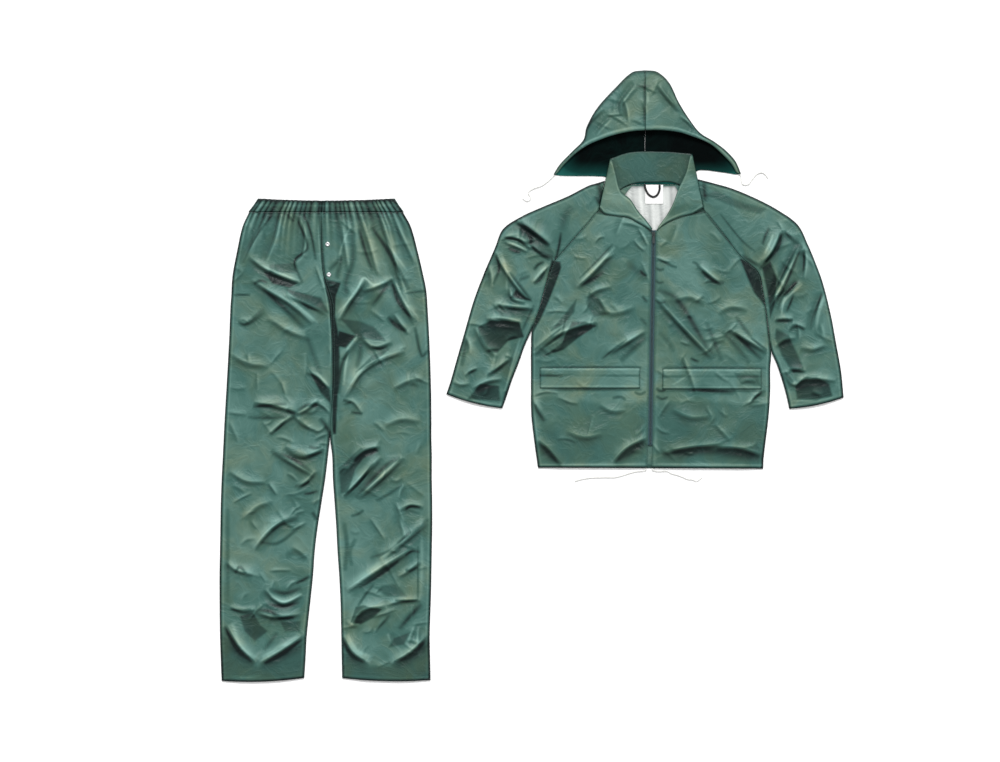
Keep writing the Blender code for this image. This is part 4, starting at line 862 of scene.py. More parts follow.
@dataclass(frozen=True)
class Creases:
    """The folds, painted shade and painted highlights of one garment's cloth, with small puckers between them."""

    garment: Garment
    folds: tuple[Fold, ...]
    shadows: tuple[Shadow, ...]
    patches: tuple[Patch, ...] = ()
    puckers: int = 0
    area: tuple[float, float, float, float] = (0.0, 0.0, 0.0, 0.0)
    seed: int = 1
    # How deep the painted shade along each fold's steep side goes.
    darkest: float = 0.26

    def small_folds(self) -> list[Fold]:
        """Short, low folds at uneven places, lengths and turns between the main ones."""
        luck = np.random.RandomState(self.seed)
        x1, y1, x2, y2 = self.area
        out = []
        for _ in range(self.puckers):
            x, y = luck.uniform(x1, x2), luck.uniform(y1, y2)
            turn = luck.normal(0.0, 0.75)
            half = luck.uniform(4.0, 13.0)
            dx, dy = half * math.cos(turn), half * math.sin(turn)
            bend = luck.uniform(-2.5, 2.5)
            route = ((x - dx, y - dy), (x + bend * 0.4, y + bend), (x + dx, y + dy))
            out.append(Fold(route, luck.uniform(0.7, 2.3), luck.uniform(6, 11), luck.uniform(3.5, 6)))
        return out

    def at(self, points: Array) -> tuple[Array, Array]:
        """Height and tone of the cloth's creases at points; the tone is painted shade and painted highlight.

        Args:
            points: The garment's millimetres, as a grid of x and y.

        Returns:
            The height in millimetres and the tone: painted shade under 0, painted highlight over 0, and 0 where it
                keeps the cloth's own colour.
        """
        plan = to_plan(points, self.garment).reshape(-1, 2)
        height, tone = np.zeros(len(plan)), np.zeros(len(plan))
        for fold in (*self.folds, *self.small_folds()):
            route = curve_through(np.array(fold.route, float), 6)
            reach = 4.0 * max(fold.soft, fold.steep) / PLAN_UNIT
            near = self.near(plan, route, reach)
            if not near.any():
                continue
            side, share = beside_route(plan[near], route)
            side = side * PLAN_UNIT
            taper = np.clip(np.sin(math.pi * share), 0.0, 1.0) ** 0.6
            gentle, sharp = 0.85 * fold.soft, 0.72 * fold.steep
            soft = np.exp(-np.abs(side / gentle) ** 1.6)
            steep = np.exp(-((side / sharp) ** 2))
            steep -= 0.40 * np.exp(-(((side - 2.2 * sharp) / sharp) ** 2))
            height[near] += 1.15 * fold.high * taper * np.where(side < 0, soft, steep)
            # Painted shade along the steep side below the fold, and a painted highlight along its crest and gentle
            # side.
            deep = min(fold.high / 5.5, 1.15) * taper
            tone[near] -= self.darkest * deep * np.exp(-(((side - 1.25 * sharp) / (0.62 * sharp)) ** 2))
            tone[near] -= 0.13 * deep * np.exp(-(((side - 2.6 * sharp) / (1.7 * sharp)) ** 2))
            tone[near] += 0.20 * deep * np.exp(-(((side + 1.2) / 1.9) ** 2))
            tone[near] += 0.08 * deep * np.exp(-(((side + 0.4 * gentle) / (0.5 * gentle)) ** 2))
        # Painted shade streaks, and painted highlights where dark is negative.
        for shadow in self.shadows:
            route = curve_through(np.array(shadow.route, float), 6)
            near = self.near(plan, route, 2.6 * shadow.wide / PLAN_UNIT)
            if not near.any():
                continue
            side, share = beside_route(plan[near], route)
            taper = np.clip(np.sin(math.pi * share), 0.0, 1.0) ** 0.4
            tone[near] -= shadow.dark * taper * np.exp(-((side * PLAN_UNIT / shadow.wide) ** 2))
        # Painted shade on facets turned from the light.
        for patch in self.patches:
            corners = np.array(patch.corners, float)
            outline = np.concatenate([corners, corners[:1]])
            near = self.near(plan, outline, 3.0 * patch.rim / PLAN_UNIT)
            if near.any():
                inside = self.inside(plan[near], corners)
                gap = np.abs(beside_route(plan[near], outline)[0]) * PLAN_UNIT
                tone[near] -= patch.dark * ease(0.5 + np.where(inside, gap, -gap) / (2 * patch.rim))
        shape = points.shape[:-1]
        return height.reshape(shape), tone.reshape(shape)

    @staticmethod
    def inside(plan: Array, corners: Array) -> Array:
        """Which points lie inside a shape with straight sides."""
        within = np.zeros(len(plan), bool)
        for (x1, y1), (x2, y2) in zip(corners, np.roll(corners, -1, axis=0)):
            if y1 != y2:
                crosses = (y1 > plan[:, 1]) != (y2 > plan[:, 1])
                within ^= crosses & (plan[:, 0] < x1 + (plan[:, 1] - y1) * (x2 - x1) / (y2 - y1))
        return within

    @staticmethod
    def near(plan: Array, route: Array, reach: float) -> Array:
        """Which points lie in a route's box, widened by a reach."""
        low, high = route.min(axis=0) - reach, route.max(axis=0) + reach
        return ((plan > low) & (plan < high)).all(axis=1)


class NodeTop:
    """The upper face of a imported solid, read straight down."""

    def __init__(self, node: str) -> None:
        mesh = frame["nodes"][node].data
        points = [v.co.copy() for v in mesh.vertices]
        self.tree = BVHTree.FromPolygons(points, [tuple(p.vertices) for p in mesh.polygons])

    def height(self, x: float, y: float) -> float:
        """Height of the solid's top over a point, all in metres."""
        hit = self.tree.ray_cast(Vector((x, y, 1.0)), Vector((0.0, 0.0, -1.0)))[0]
        if hit is None:
            hit = self.tree.find_nearest(Vector((x, y, 0.006)))[0]
        return hit.z

    def over(self, points: Array, garment: Garment) -> Array:
        """Heights in millimetres over a grid of a garment's points."""
        flat = (points.reshape(-1, 2) + np.array(garment.value)) * MM
        return np.array([self.height(x, y) for x, y in flat]).reshape(points.shape[:-1]) / MM


def mesh_from_grid(name: str, grid: Array, tone: Array, garment: Garment, upward: bool = True) -> bpy.types.Object:
    """One open sheet of four-sided faces through a grid of points.

    Args:
        name: The piece's name.
        grid: The points in the garment's millimetres.
        tone: The painted shade (under 0) or painted highlight (over 0) at each point.
        garment: The garment whose origin the points are measured from.
        upward: Whether the first face looks up.

    Returns:
        The new object, linked to the scene.
    """
    rows, across = grid.shape[:2]
    shift = np.array([*garment.value, 0.0])
    points = (grid.reshape(-1, 3) + shift) * MM
    index = np.arange(rows * across).reshape(rows, across)
    faces = np.stack([index[:-1, :-1], index[:-1, 1:], index[1:, 1:], index[1:, :-1]], axis=-1).reshape(-1, 4)
    a, b, c = points[faces[0, 0]], points[faces[0, 1]], points[faces[0, 3]]
    if (np.cross(b - a, c - a)[2] > 0) != upward:
        faces = faces[:, ::-1]
    mesh = bpy.data.meshes.new(name)
    mesh.from_pydata(points.tolist(), [], faces.tolist())
    layer = mesh.attributes.new("tone", "FLOAT", "POINT")
    layer.data.foreach_set("value", np.clip(0.5 + tone.reshape(-1), 0.0, 1.0).astype(np.float32))
    mesh.shade_smooth()
    piece = bpy.data.objects.new(name, mesh)
    bpy.context.scene.collection.objects.link(piece)
    return piece


def cut_size(grid: Array) -> tuple[float, float]:
    """Width and length in metres of the cloth that a grid was cut from, measured over its folds."""
    wide = np.linalg.norm(np.diff(grid, axis=1), axis=-1).sum(axis=1).max()
    long = np.linalg.norm(np.diff(grid, axis=0), axis=-1).sum(axis=0).max()
    return float(wide) * MM, float(long) * MM


def give_wall(piece: bpy.types.Object, thickness: float, offset: float = -1.0, lined: bool = False) -> None:
    """Give an open sheet the thickness of its cloth.

    Args:
        piece: The sheet.
        thickness: The wall in millimetres.
        offset: -1 where the sheet is the outer face, 1 where it is the inner one.
        lined: Whether the other side has a material of its own.
    """
    wall = piece.modifiers.new("wall", "SOLIDIFY")
    wall.thickness = thickness * MM
    wall.offset = offset
    wall.use_quality_normals = False
    if lined:
        wall.material_offset = 1


def hand_in(piece: bpy.types.Object, slot: str, *nodes: str, body: str = BODY) -> bpy.types.Object:
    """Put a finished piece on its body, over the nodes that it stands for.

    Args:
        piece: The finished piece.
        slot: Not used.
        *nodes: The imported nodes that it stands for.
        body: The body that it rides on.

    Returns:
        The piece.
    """
    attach(piece, body)
    if nodes:
        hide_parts(*nodes)
    return piece


class Tree:
    """Short words for adding and linking the nodes of one node tree."""

    def __init__(self, tree: bpy.types.NodeTree) -> None:
        self.tree = tree

    def add(self, kind: str, **settings: object) -> bpy.types.Node:
        """Add a node and set its own properties."""
        node = self.tree.nodes.new(kind)
        for key, value in settings.items():
            setattr(node, key, value)
        return node

    def link(self, source: bpy.types.NodeSocket, target: bpy.types.NodeSocket) -> None:
        """Join one node's output to another's input."""
        self.tree.links.new(source, target)

    def math(self, operation: str, first: object, second: object = None) -> bpy.types.NodeSocket:
        """A Math node on sockets or numbers.

        Args:
            operation: The Math node's operation.
            first: A socket or a number.
            second: A socket or a number, where the operation has one.

        Returns:
            The node's output.
        """
        node = self.add("ShaderNodeMath", operation=operation)
        for place, value in ((0, first), (1, second)):
            if isinstance(value, bpy.types.NodeSocket):
                self.link(value, node.inputs[place])
            elif value is not None:
                node.inputs[place].default_value = value
        return node.outputs[0]


def new_group(name: str, ins: dict[str, float], outs: tuple[str, ...]) -> tuple[Tree, bpy.types.Node, bpy.types.Node]:
    """A shader group with number sockets.

    Args:
        name: The group's name.
        ins: Its inputs and their usual values.
        outs: Its outputs.

    Returns:
        The tree, its input node and its output node.
    """
    group = bpy.data.node_groups.new(name, "ShaderNodeTree")
    for label, value in ins.items():
        group.interface.new_socket(label, in_out="INPUT", socket_type="NodeSocketFloat").default_value = value
    for label in outs:
        group.interface.new_socket(label, in_out="OUTPUT", socket_type="NodeSocketFloat")
    tree = Tree(group)
    return tree, tree.add("NodeGroupInput"), tree.add("NodeGroupOutput")


class SharedGrain:
    """The shader groups that more than one finish uses."""

    def __init__(self) -> None:
        self.weave = self.build_weave()
        self.crumple = self.build_crumple()

    def build_weave(self) -> bpy.types.NodeTree:
        """Plain weave: warp and weft threads that go over and under each other."""
        tree, given, out = new_group("plain_weave", {"Thread": 0.0009}, ("Height", "Gap"))
        place = tree.add("ShaderNodeTexCoord")
        split = tree.add("ShaderNodeSeparateXYZ")
        tree.link(place.outputs["Object"], split.inputs[0])
        waves = []
        for axis in ("X", "Y"):
            turns = tree.math("DIVIDE", split.outputs[axis], given.outputs["Thread"])
            waves.append(tree.math("SINE", tree.math("MULTIPLY", turns, 2 * math.pi)))
        both = tree.math("MULTIPLY", waves[0], waves[1])
        height = tree.math("ADD", tree.math("MULTIPLY", both, 0.5), 0.5)
        gap = tree.math("POWER", tree.math("ABSOLUTE", both), 0.5)
        tree.link(height, out.inputs["Height"])
        tree.link(gap, out.inputs["Gap"])
        return tree.tree

    def build_crumple(self) -> bpy.types.NodeTree:
        """Sharp little creases of coated cloth, at two sizes, and a slow change of tone."""
        tree, given, out = new_group("cloth_crumple", {"Size": 18.0, "Amount": 0.6}, ("Height", "Tone", "Drift"))
        place = tree.add("ShaderNodeTexCoord")
        warp = tree.add("ShaderNodeTexNoise", noise_dimensions="3D")
        warp.inputs["Scale"].default_value = 9.0
        warp.inputs["Detail"].default_value = 2.0
        tree.link(place.outputs["Object"], warp.inputs["Vector"])
        moved = tree.add("ShaderNodeMixRGB", blend_type="LINEAR_LIGHT")
        moved.inputs[0].default_value = 0.08
        tree.link(place.outputs["Object"], moved.inputs[1])
        tree.link(warp.outputs["Color"], moved.inputs[2])
        ridges = []
        for factor, weight in ((1.0, 0.62), (2.7, 0.38)):
            noise = tree.add("ShaderNodeTexNoise", noise_dimensions="3D")
            noise.inputs["Detail"].default_value = 1.5
            tree.link(moved.outputs[0], noise.inputs["Vector"])
            tree.link(tree.math("MULTIPLY", given.outputs["Size"], factor), noise.inputs["Scale"])
            away = tree.math("ABSOLUTE", tree.math("SUBTRACT", noise.outputs["Fac"], 0.5))
            ridge = tree.math("POWER", tree.math("SUBTRACT", 1.0, tree.math("MULTIPLY", away, 2.4)), 3.0)
            ridges.append(tree.math("MULTIPLY", ridge, weight))
        height = tree.math("ADD", ridges[0], ridges[1])
        tree.link(tree.math("MULTIPLY", height, given.outputs["Amount"]), out.inputs["Height"])
        slow = tree.add("ShaderNodeTexNoise", noise_dimensions="3D")
        slow.inputs["Scale"].default_value = 6.0
        slow.inputs["Detail"].default_value = 3.0
        tree.link(place.outputs["Object"], slow.inputs["Vector"])
        tree.link(tree.math("SUBTRACT", slow.outputs["Fac"], 0.5), out.inputs["Tone"])
        drift = tree.add("ShaderNodeTexNoise", noise_dimensions="3D")
        drift.inputs["Scale"].default_value = 11.0
        drift.inputs["Detail"].default_value = 4.0
        tree.link(moved.outputs[0], drift.inputs["Vector"])
        worn = tree.math("MULTIPLY", tree.math("SUBTRACT", drift.outputs["Fac"], 0.42), 3.2)
        tree.link(tree.math("MINIMUM", tree.math("MAXIMUM", worn, 0.0), 1.0), out.inputs["Drift"])
        return tree.tree


@dataclass(frozen=True)
class Cloth:
    """A woven finish: its dark, middle and light colours (for painted shade, the cloth's own colour and painted
    highlight, with random mottle between), its threads and its gloss.
    """

    name: str
    dark: tuple[float, float, float]
    middle: tuple[float, float, float]
    light: tuple[float, float, float]
    roughness: float
    specular: float
    thread: float = 0.0009
    crumple: float = 0.6
    crumple_size: float = 18.0
    bump: float = 0.35
    mottle: float = 0.12
    sheen: float = 0.0
    coat: float = 0.0
    toned: bool = True
    drift: tuple[float, float, float] = (1.0, 1.0, 1.0)

    def build(self, grain: SharedGrain) -> bpy.types.Material:
        """Make the material.

        Args:
            grain: The shared shader groups.

        Returns:
            The material, with its colour, gloss and bump from nodes.
        """
        material = bpy.data.materials.new(self.name)
        material.use_nodes = True
        tree = Tree(material.node_tree)
        shader = material.node_tree.nodes["Principled BSDF"]
        shader.inputs["Specular IOR Level"].default_value = self.specular
        shader.inputs["Sheen Weight"].default_value = self.sheen
        shader.inputs["Coat Weight"].default_value = self.coat
        shader.inputs["Coat Roughness"].default_value = 0.28
        weave = tree.add("ShaderNodeGroup", node_tree=grain.weave)
        weave.inputs["Thread"].default_value = self.thread
        crumple = tree.add("ShaderNodeGroup", node_tree=grain.crumple)
        crumple.inputs["Size"].default_value = self.crumple_size
        crumple.inputs["Amount"].default_value = self.crumple
        mottled = tree.math("MULTIPLY", crumple.outputs["Tone"], self.mottle)
        # Painted highlight on the crumple's ridges.
        lit = tree.math("MULTIPLY", crumple.outputs["Height"], 0.10)
        threads = tree.math("MULTIPLY", weave.outputs["Gap"], 0.03)
        extra = tree.math("ADD", tree.math("ADD", mottled, lit), threads)
        # The tone attribute holds each piece's painted shade and painted highlight.
        if self.toned:
            tone = tree.add("ShaderNodeAttribute", attribute_name="tone")
            place = tree.math("ADD", tone.outputs["Fac"], extra)
        else:
            place = tree.math("ADD", extra, 0.45)
        ramp = tree.add("ShaderNodeValToRGB")
        stops = ramp.color_ramp.elements
        stops[0].position, stops[0].color = 0.04, (*self.dark, 1.0)
        stops[1].position, stops[1].color = 0.96, (*self.light, 1.0)
        stops.new(0.5).color = (*self.middle, 1.0)
        tree.link(place, ramp.inputs[0])
        drifted = tree.add("ShaderNodeMixRGB", blend_type="MULTIPLY")
        drifted.inputs[2].default_value = (*self.drift, 1.0)
        tree.link(crumple.outputs["Drift"], drifted.inputs[0])
        tree.link(ramp.outputs[0], drifted.inputs[1])
        tree.link(drifted.outputs[0], shader.inputs["Base Color"])
        rough = tree.math("ADD", tree.math("MULTIPLY", crumple.outputs["Tone"], 0.18), self.roughness)
        tree.link(rough, shader.inputs["Roughness"])
        fine = tree.add("ShaderNodeBump")
        fine.inputs["Strength"].default_value = self.bump * 0.35
        fine.inputs["Distance"].default_value = self.thread * 0.4
        tree.link(weave.outputs["Height"], fine.inputs["Height"])
        coarse = tree.add("ShaderNodeBump")
        coarse.inputs["Strength"].default_value = self.bump
        coarse.inputs["Distance"].default_value = 0.004
        tree.link(crumple.outputs["Height"], coarse.inputs["Height"])
        tree.link(fine.outputs["Normal"], coarse.inputs["Normal"])
        tree.link(coarse.outputs["Normal"], shader.inputs["Normal"])
        return material


@dataclass(frozen=True)
class Metal:
    """A metal finish with fine scratches and a brighter rubbed grain."""

    name: str
    colour: tuple[float, float, float]
    roughness: float

    def build(self, grain: SharedGrain) -> bpy.types.Material:
        """Make the material.

        Args:
            grain: The shared shader groups.

        Returns:
            The material, with its colour and gloss varied by nodes.
        """
        material = bpy.data.materials.new(self.name)
        material.use_nodes = True
        tree = Tree(material.node_tree)
        shader = material.node_tree.nodes["Principled BSDF"]
        shader.inputs["Metallic"].default_value = 1.0
        crumple = tree.add("ShaderNodeGroup", node_tree=grain.crumple)
        crumple.inputs["Size"].default_value = 420.0
        crumple.inputs["Amount"].default_value = 1.0
        ramp = tree.add("ShaderNodeValToRGB")
        ramp.color_ramp.elements[0].color = (*(c * 0.6 for c in self.colour), 1.0)
        ramp.color_ramp.elements[1].color = (*(min(c * 1.25, 1.0) for c in self.colour), 1.0)
        tree.link(crumple.outputs["Height"], ramp.inputs[0])
        tree.link(ramp.outputs[0], shader.inputs["Base Color"])
        rough = tree.math("ADD", tree.math("MULTIPLY", crumple.outputs["Height"], 0.15), self.roughness)
        tree.link(rough, shader.inputs["Roughness"])
        bump = tree.add("ShaderNodeBump")
        bump.inputs["Strength"].default_value = 0.12
        bump.inputs["Distance"].default_value = 0.0002
        tree.link(crumple.outputs["Height"], bump.inputs["Height"])
        tree.link(bump.outputs["Normal"], shader.inputs["Normal"])
        return material


class Finishes:
    """Every material of the suit, by name."""

    def __init__(self) -> None:
        grain = SharedGrain()
        # The nylon's dark colour is the near-black of painted shade in the creases, its light colour that of painted
        # highlights.
        nylon = dict(dark=(0.0, 0.006, 0.006), middle=(0.034, 0.098, 0.083), light=(0.19, 0.34, 0.30))
        self.nylon = Cloth("coated_nylon", **nylon, roughness=0.40, specular=0.20, bump=0.6, mottle=0.34,
                           drift=(1.45, 1.0, 0.78)).build(grain)
        # The hood's inner face: its dark inner coating together with painted shade, near black inside the hood's
        # mouth.
        self.inside = Cloth("coated_inside_painted_shade", (0.0, 0.001, 0.001), (0.003, 0.03, 0.026), (0.02, 0.16, 0.135),
                            roughness=0.7, specular=0.03, bump=0.25).build(grain)
        self.lining = Cloth("soft_lining", (0.08, 0.09, 0.09), (0.40, 0.42, 0.41), (0.66, 0.68, 0.66),
                            roughness=0.85, specular=0.2, thread=0.0012, crumple_size=40.0).build(grain)
        self.label = Cloth("blank_label", (0.5, 0.5, 0.49), (0.80, 0.80, 0.79), (0.9, 0.9, 0.89),
                           roughness=0.7, specular=0.25, thread=0.0006, crumple_size=50.0, bump=0.2).build(grain)
        self.black_tape = Cloth("black_tape", (0.001, 0.001, 0.001), (0.006, 0.006, 0.007), (0.03, 0.03, 0.032),
                                roughness=0.7, specular=0.3, thread=0.0008, toned=False).build(grain)
        self.zip_tape = Cloth("zip_tape", (0.004, 0.01, 0.012), (0.035, 0.078, 0.088), (0.10, 0.17, 0.19),
                              roughness=0.75, specular=0.25, thread=0.0008, crumple=0.2).build(grain)
        self.zip_coil = Cloth("zip_coil", (0.004, 0.008, 0.01), (0.034, 0.064, 0.074), (0.09, 0.14, 0.16),
                              roughness=0.38, specular=0.5, thread=0.0006, crumple=0.2, toned=False).build(grain)
        self.thread = Cloth("sewing_thread", (0.01, 0.03, 0.027), (0.05, 0.12, 0.10), (0.13, 0.24, 0.21),
                            roughness=0.6, specular=0.35, thread=0.0004, crumple=0.2, toned=False).build(grain)
        self.cord = Cloth("drawcord", (0.35, 0.35, 0.33), (0.72, 0.72, 0.69), (0.86, 0.86, 0.83),
                          roughness=0.85, specular=0.2, thread=0.0005, crumple_size=120.0, crumple=0.5,
                          sheen=0.3).build(grain)
        self.dark_metal = Metal("dark_zip_metal", (0.07, 0.085, 0.085), 0.32).build(grain)
        self.snap_metal = Metal("snap_metal", (0.66, 0.67, 0.68), 0.24).build(grain)


@dataclass
class ClothPiece:
    """A cut piece that lies on another: a thin sheet on its solid's form, with the main creases in it."""

    name: str
    rows: tuple[Row, ...]
    garment: Garment
    creases: Creases
    rims: Rims
    step: float = 2.6
    across: int = 90
    hem_bow: float = 5.0
    wall: float = 0.9
    floor: float = 2.9
    base_blur: int = 3
    sewn_edge: int = -1
    sewn_above: float = 0.0
    grid: Array | None = None
    tone: Array | None = None

    def plan_points(self) -> Array:
        """The piece's points seen from above, in rows from its first edge to its second."""
        table = np.array(self.rows, float)
        spans = np.hypot(np.diff(table[:, 0]), np.diff(table[:, 1]))
        spans = (spans + np.hypot(np.diff(table[:, 2]), np.diff(table[:, 3]))) / 2
        edges = []
        for first in (0, 2):
            fine = curve_through(table[:, first:first + 2], 24)
            edge = [fine[0]]
            for i, span in enumerate(spans):
                count = max(1, round(span / self.step))
                share = np.arange(1, count + 1) / count * 24
                piece = fine[24 * i:24 * i + 25]
                edge.extend(np.stack([np.interp(share, np.arange(25), piece[:, k]) for k in (0, 1)], axis=1))
            edges.append(np.array(edge))
        u = np.linspace(0.0, 1.0, self.across + 1)[None, :, None]
        points = edges[0][:, None, :] * (1 - u) + edges[1][:, None, :] * u
        last = max(1, round(spans[-1] / self.step))
        ramp = np.concatenate([np.zeros(len(points) - last - 1), np.linspace(0, 1, last + 1)])
        points[..., 1] -= ramp[:, None] * self.hem_bow * 4 * u[..., 0] * (1 - u[..., 0])
        return points

    def edge_distances(self, points: Array) -> tuple[Array, Array, Array, Array]:
        """How far each point lies from the piece's four edges, in millimetres."""
        u = np.linspace(0.0, 1.0, points.shape[1])[None, :]
        width = np.linalg.norm(points[:, -1] - points[:, 0], axis=-1)[:, None]
        step = np.linalg.norm(np.diff(points, axis=0), axis=-1)
        down = np.concatenate([np.zeros((1, points.shape[1])), np.cumsum(step, axis=0)])
        return u * width, (1 - u) * width, down, down[-1:] - down

    def extra(self, points: Array) -> tuple[Array, Array]:
        """Height and tone (painted shade) that a piece adds to its creases: none."""
        return np.zeros(points.shape[:2]), np.zeros(points.shape[:2])

    def form(self) -> None:
        """Lay the sheet on its solid and raise its creases."""
        points = self.plan_points()
        base = blur(NodeTop(self.name).over(points, self.garment), self.base_blur)
        height, tone = self.creases.at(points)
        more, shade = self.extra(points)
        height = height + more
        first, second, start, end = self.edge_distances(points)
        near_edge = np.minimum(np.minimum(first, second), np.minimum(start, end))
        height *= ease(near_edge / 16.0)
        height = np.where(height > 0, 11.0 * np.tanh(height / 11.0), height)
        room = np.maximum(base - self.floor, 0.2)
        height = np.where(height < 0, -room * (1 - np.exp(height / room)), height)
        z = base + height
        # Painted shade in the hollows and painted highlight on the ridges of the raised creases.
        tone = tone + shade + 0.020 * (height - blur(height, 7))
        # Painted shade along each edge where the cloth rolls under or is sewn, and a painted highlight just inside
        # it; the edge also dips.
        for i, (distance, rim) in enumerate(zip((first, second, start, end), self.rims)):
            if i == self.sewn_edge:
                rim = rim * (0.22 + 0.78 * (1 - ease((points[..., 1] - self.sewn_above) / 20.0 + 0.5)))
            z = z - 0.9 * np.abs(rim) * (1 - ease(distance / 5.0))
            tone = tone - 1.7 * rim * np.exp(-((distance / 4.4) ** 2.5))
            tone = tone + 0.28 * np.abs(rim) * np.exp(-(((distance - 7.8) / 2.0) ** 2))
        self.grid = np.dstack([points, z])
        self.tone = tone

    def build(self, finish: bpy.types.Material, rests_on: tuple[str, ...], held: str = "laid") -> bpy.types.Object:
        """Args:
            finish: Its material.
            rests_on: Not used.
            held: Not used.

        Returns:
            The finished piece.
        """
        self.form()
        piece = mesh_from_grid(f"{self.name}_cloth", self.grid, self.tone, self.garment)
        piece.data.materials.append(finish)
        give_wall(piece, self.wall)
        hand_in(piece, "coated_nylon", self.name)
        return piece


class TrouserFront(ClothPiece):
    """A trouser front half, gathered into the elastic waist."""

    def extra(self, points: Array) -> tuple[Array, Array]:
        """The waist's gathers run out over the first centimetres below the band."""
        y = points[..., 1]
        left = np.interp(-y, [30.6, 66, 124, 184], [-194, -210, -223, -234])
        right = np.interp(-y, [30.6, 66, 124, 184], [175, 194, 210, 224])
        share = (points[..., 0] - left) / (right - left)
        wave = Waistband.gather_wave(share)
        fade = np.exp(-np.maximum(-30.0 - y, 0.0) / 34.0) * ease((-20.0 - y) / 8.0)
        # The tone is painted shade in the gathers' valleys and painted highlight on their ridges.
        return 3.0 * fade * (wave - 0.4), fade * 0.62 * (wave - 0.62)


class BackPiece(ClothPiece):
    """A back piece: its underside is flat on the surface and its top carries the layers above."""

    def form(self) -> None:
        """Lay the sheet flat, with its rim turned down a little."""
        points = self.plan_points()
        first, second, start, end = self.edge_distances(points)
        near = np.minimum(np.minimum(first, second), np.minimum(start, end))
        z = 1.5 - 0.35 * (1 - ease(near / 1.5))
        self.grid = np.dstack([points, z])
        # Painted shade along the rim where it turns down.
        self.tone = -0.2 * np.exp(-near / 4.0)


@dataclass
class Waistband:
    """The elastic waist: a casing gathered into uneven ridges, round both sides to the back."""

    pitch: float = 12.5
    top: float = -3.0
    bottom: float = -30.0
    high: float = 3.6
    wall: float = 1.2

    @staticmethod
    def gather_wave(share: Array) -> Array:
        """The gathers across the waist, from 0 in a valley to 1 on a ridge, uneven in pitch and depth."""
        along = share * 348.0
        turn = 2 * math.pi * (along + 3.4 * np.sin(along * 0.061) + 1.6 * np.sin(along * 0.143 + 1.0)) / 12.9
        wave = 0.5 - 0.5 * np.cos(turn)
        uneven = 0.72 + 0.28 * np.sin(along * 0.083 + 0.6)
        return uneven * wave**0.8

    def front_edge(self, share: Array) -> tuple[Array, Array]:
        """The two edges of the band at a share of its height."""
        return -171.0 + (-194.0 + 171.0) * share, 153.0 + (175.0 - 153.0) * share

    def strip(self, start: float, end: float, out: int) -> tuple[Array, Array]:
        """The band's front from the fly to one side, round it, and along the back to the middle.

        Args:
            start: Share of the band's width at the fly.
            end: Share at the side, 0 or 1.
            out: -1 for the left side and 1 for the right.

        Returns:
            The points in the garment's millimetres and their tone.
        """
        shares = np.linspace(0.0, 1.0, 13)
        count = round(abs(end - start) * 348 / 1.5)
        low, high = 1.5, 3.1
        radius = (high - low) / 2
        stations = []
        for u in np.linspace(start, end, count):
            wave = float(self.gather_wave(np.array(u)))
            ramp = float(ease(np.array(min(u, 1 - u) * 340 / 12)) * ease(np.array(abs(u - start) * 340 / 7)))
            stations.append((u, 0.0, high + 0.5 * ramp + self.high * wave * ramp, wave * ramp))
        for k in range(1, 6):
            angle = math.pi / 2 - k * math.pi / 6
            stations.append((end, out * radius * math.cos(angle), low + radius * (1 + math.sin(angle)), 0.0))
        for u in np.linspace(end, 0.5, 24):
            stations.append((u, 0.0, low, 0.0))
        grid, tone = [], []
        for u, shift, z, wave in stations:
            left, right = self.front_edge(shares)
            x = left + (right - left) * u + shift
            sag = 5.0 * (2 * u - 1) ** 2 * np.interp(shares, [0, 0.5, 1], [1, 0.25, 0])
            y = self.top + (self.bottom - self.top) * shares + sag
            swell = np.interp(shares, [0, 0.08, 0.45, 0.5, 0.55, 0.9, 1], [0.35, 0.8, 1.0, 0.7, 1.0, 1.0, 0.85])
            rows = np.where(z > high, high + (z - high) * swell, z)
            grid.append(np.stack([x, y, rows], axis=1))
            # Painted shade in the gathers' valleys and painted highlight on their ridges, a painted highlight along
            # the band's middle, painted shade along its top and bottom edges, and flat painted shade round the sides
            # and back.
            shade = 0.62 * (wave - 0.66) - 0.10
            line = 0.20 * np.exp(-(((shares - 0.45) / 0.06) ** 2)) - 0.75 * np.exp(-((shares / 0.16) ** 3))
            line = line - 0.30 * np.exp(-(((1 - shares) / 0.06) ** 2))
            tone.append(np.where(z >= high, shade + line, -0.2))
        return np.array(grid), np.array(tone)

    def build(self, finish: bpy.types.Material) -> bpy.types.Object:
        fly = (FLY_X + 194.0) / 369.0
        left, left_tone = self.strip(fly - 0.001, 0.0, -1)
        right, right_tone = self.strip(fly + 0.001, 1.0, 1)
        grid = np.concatenate([left, right[::-1][1:]])
        tone = np.concatenate([left_tone, right_tone[::-1][1:]])
        piece = mesh_from_grid("waistband_cloth", grid, tone, Garment.TROUSERS, upward=True)
        piece.data.materials.append(finish)
        give_wall(piece, self.wall, offset=1.0)
        hand_in(piece, "coated_nylon", "waistband")
        turned = grid.transpose(1, 0, 2)
        return piece


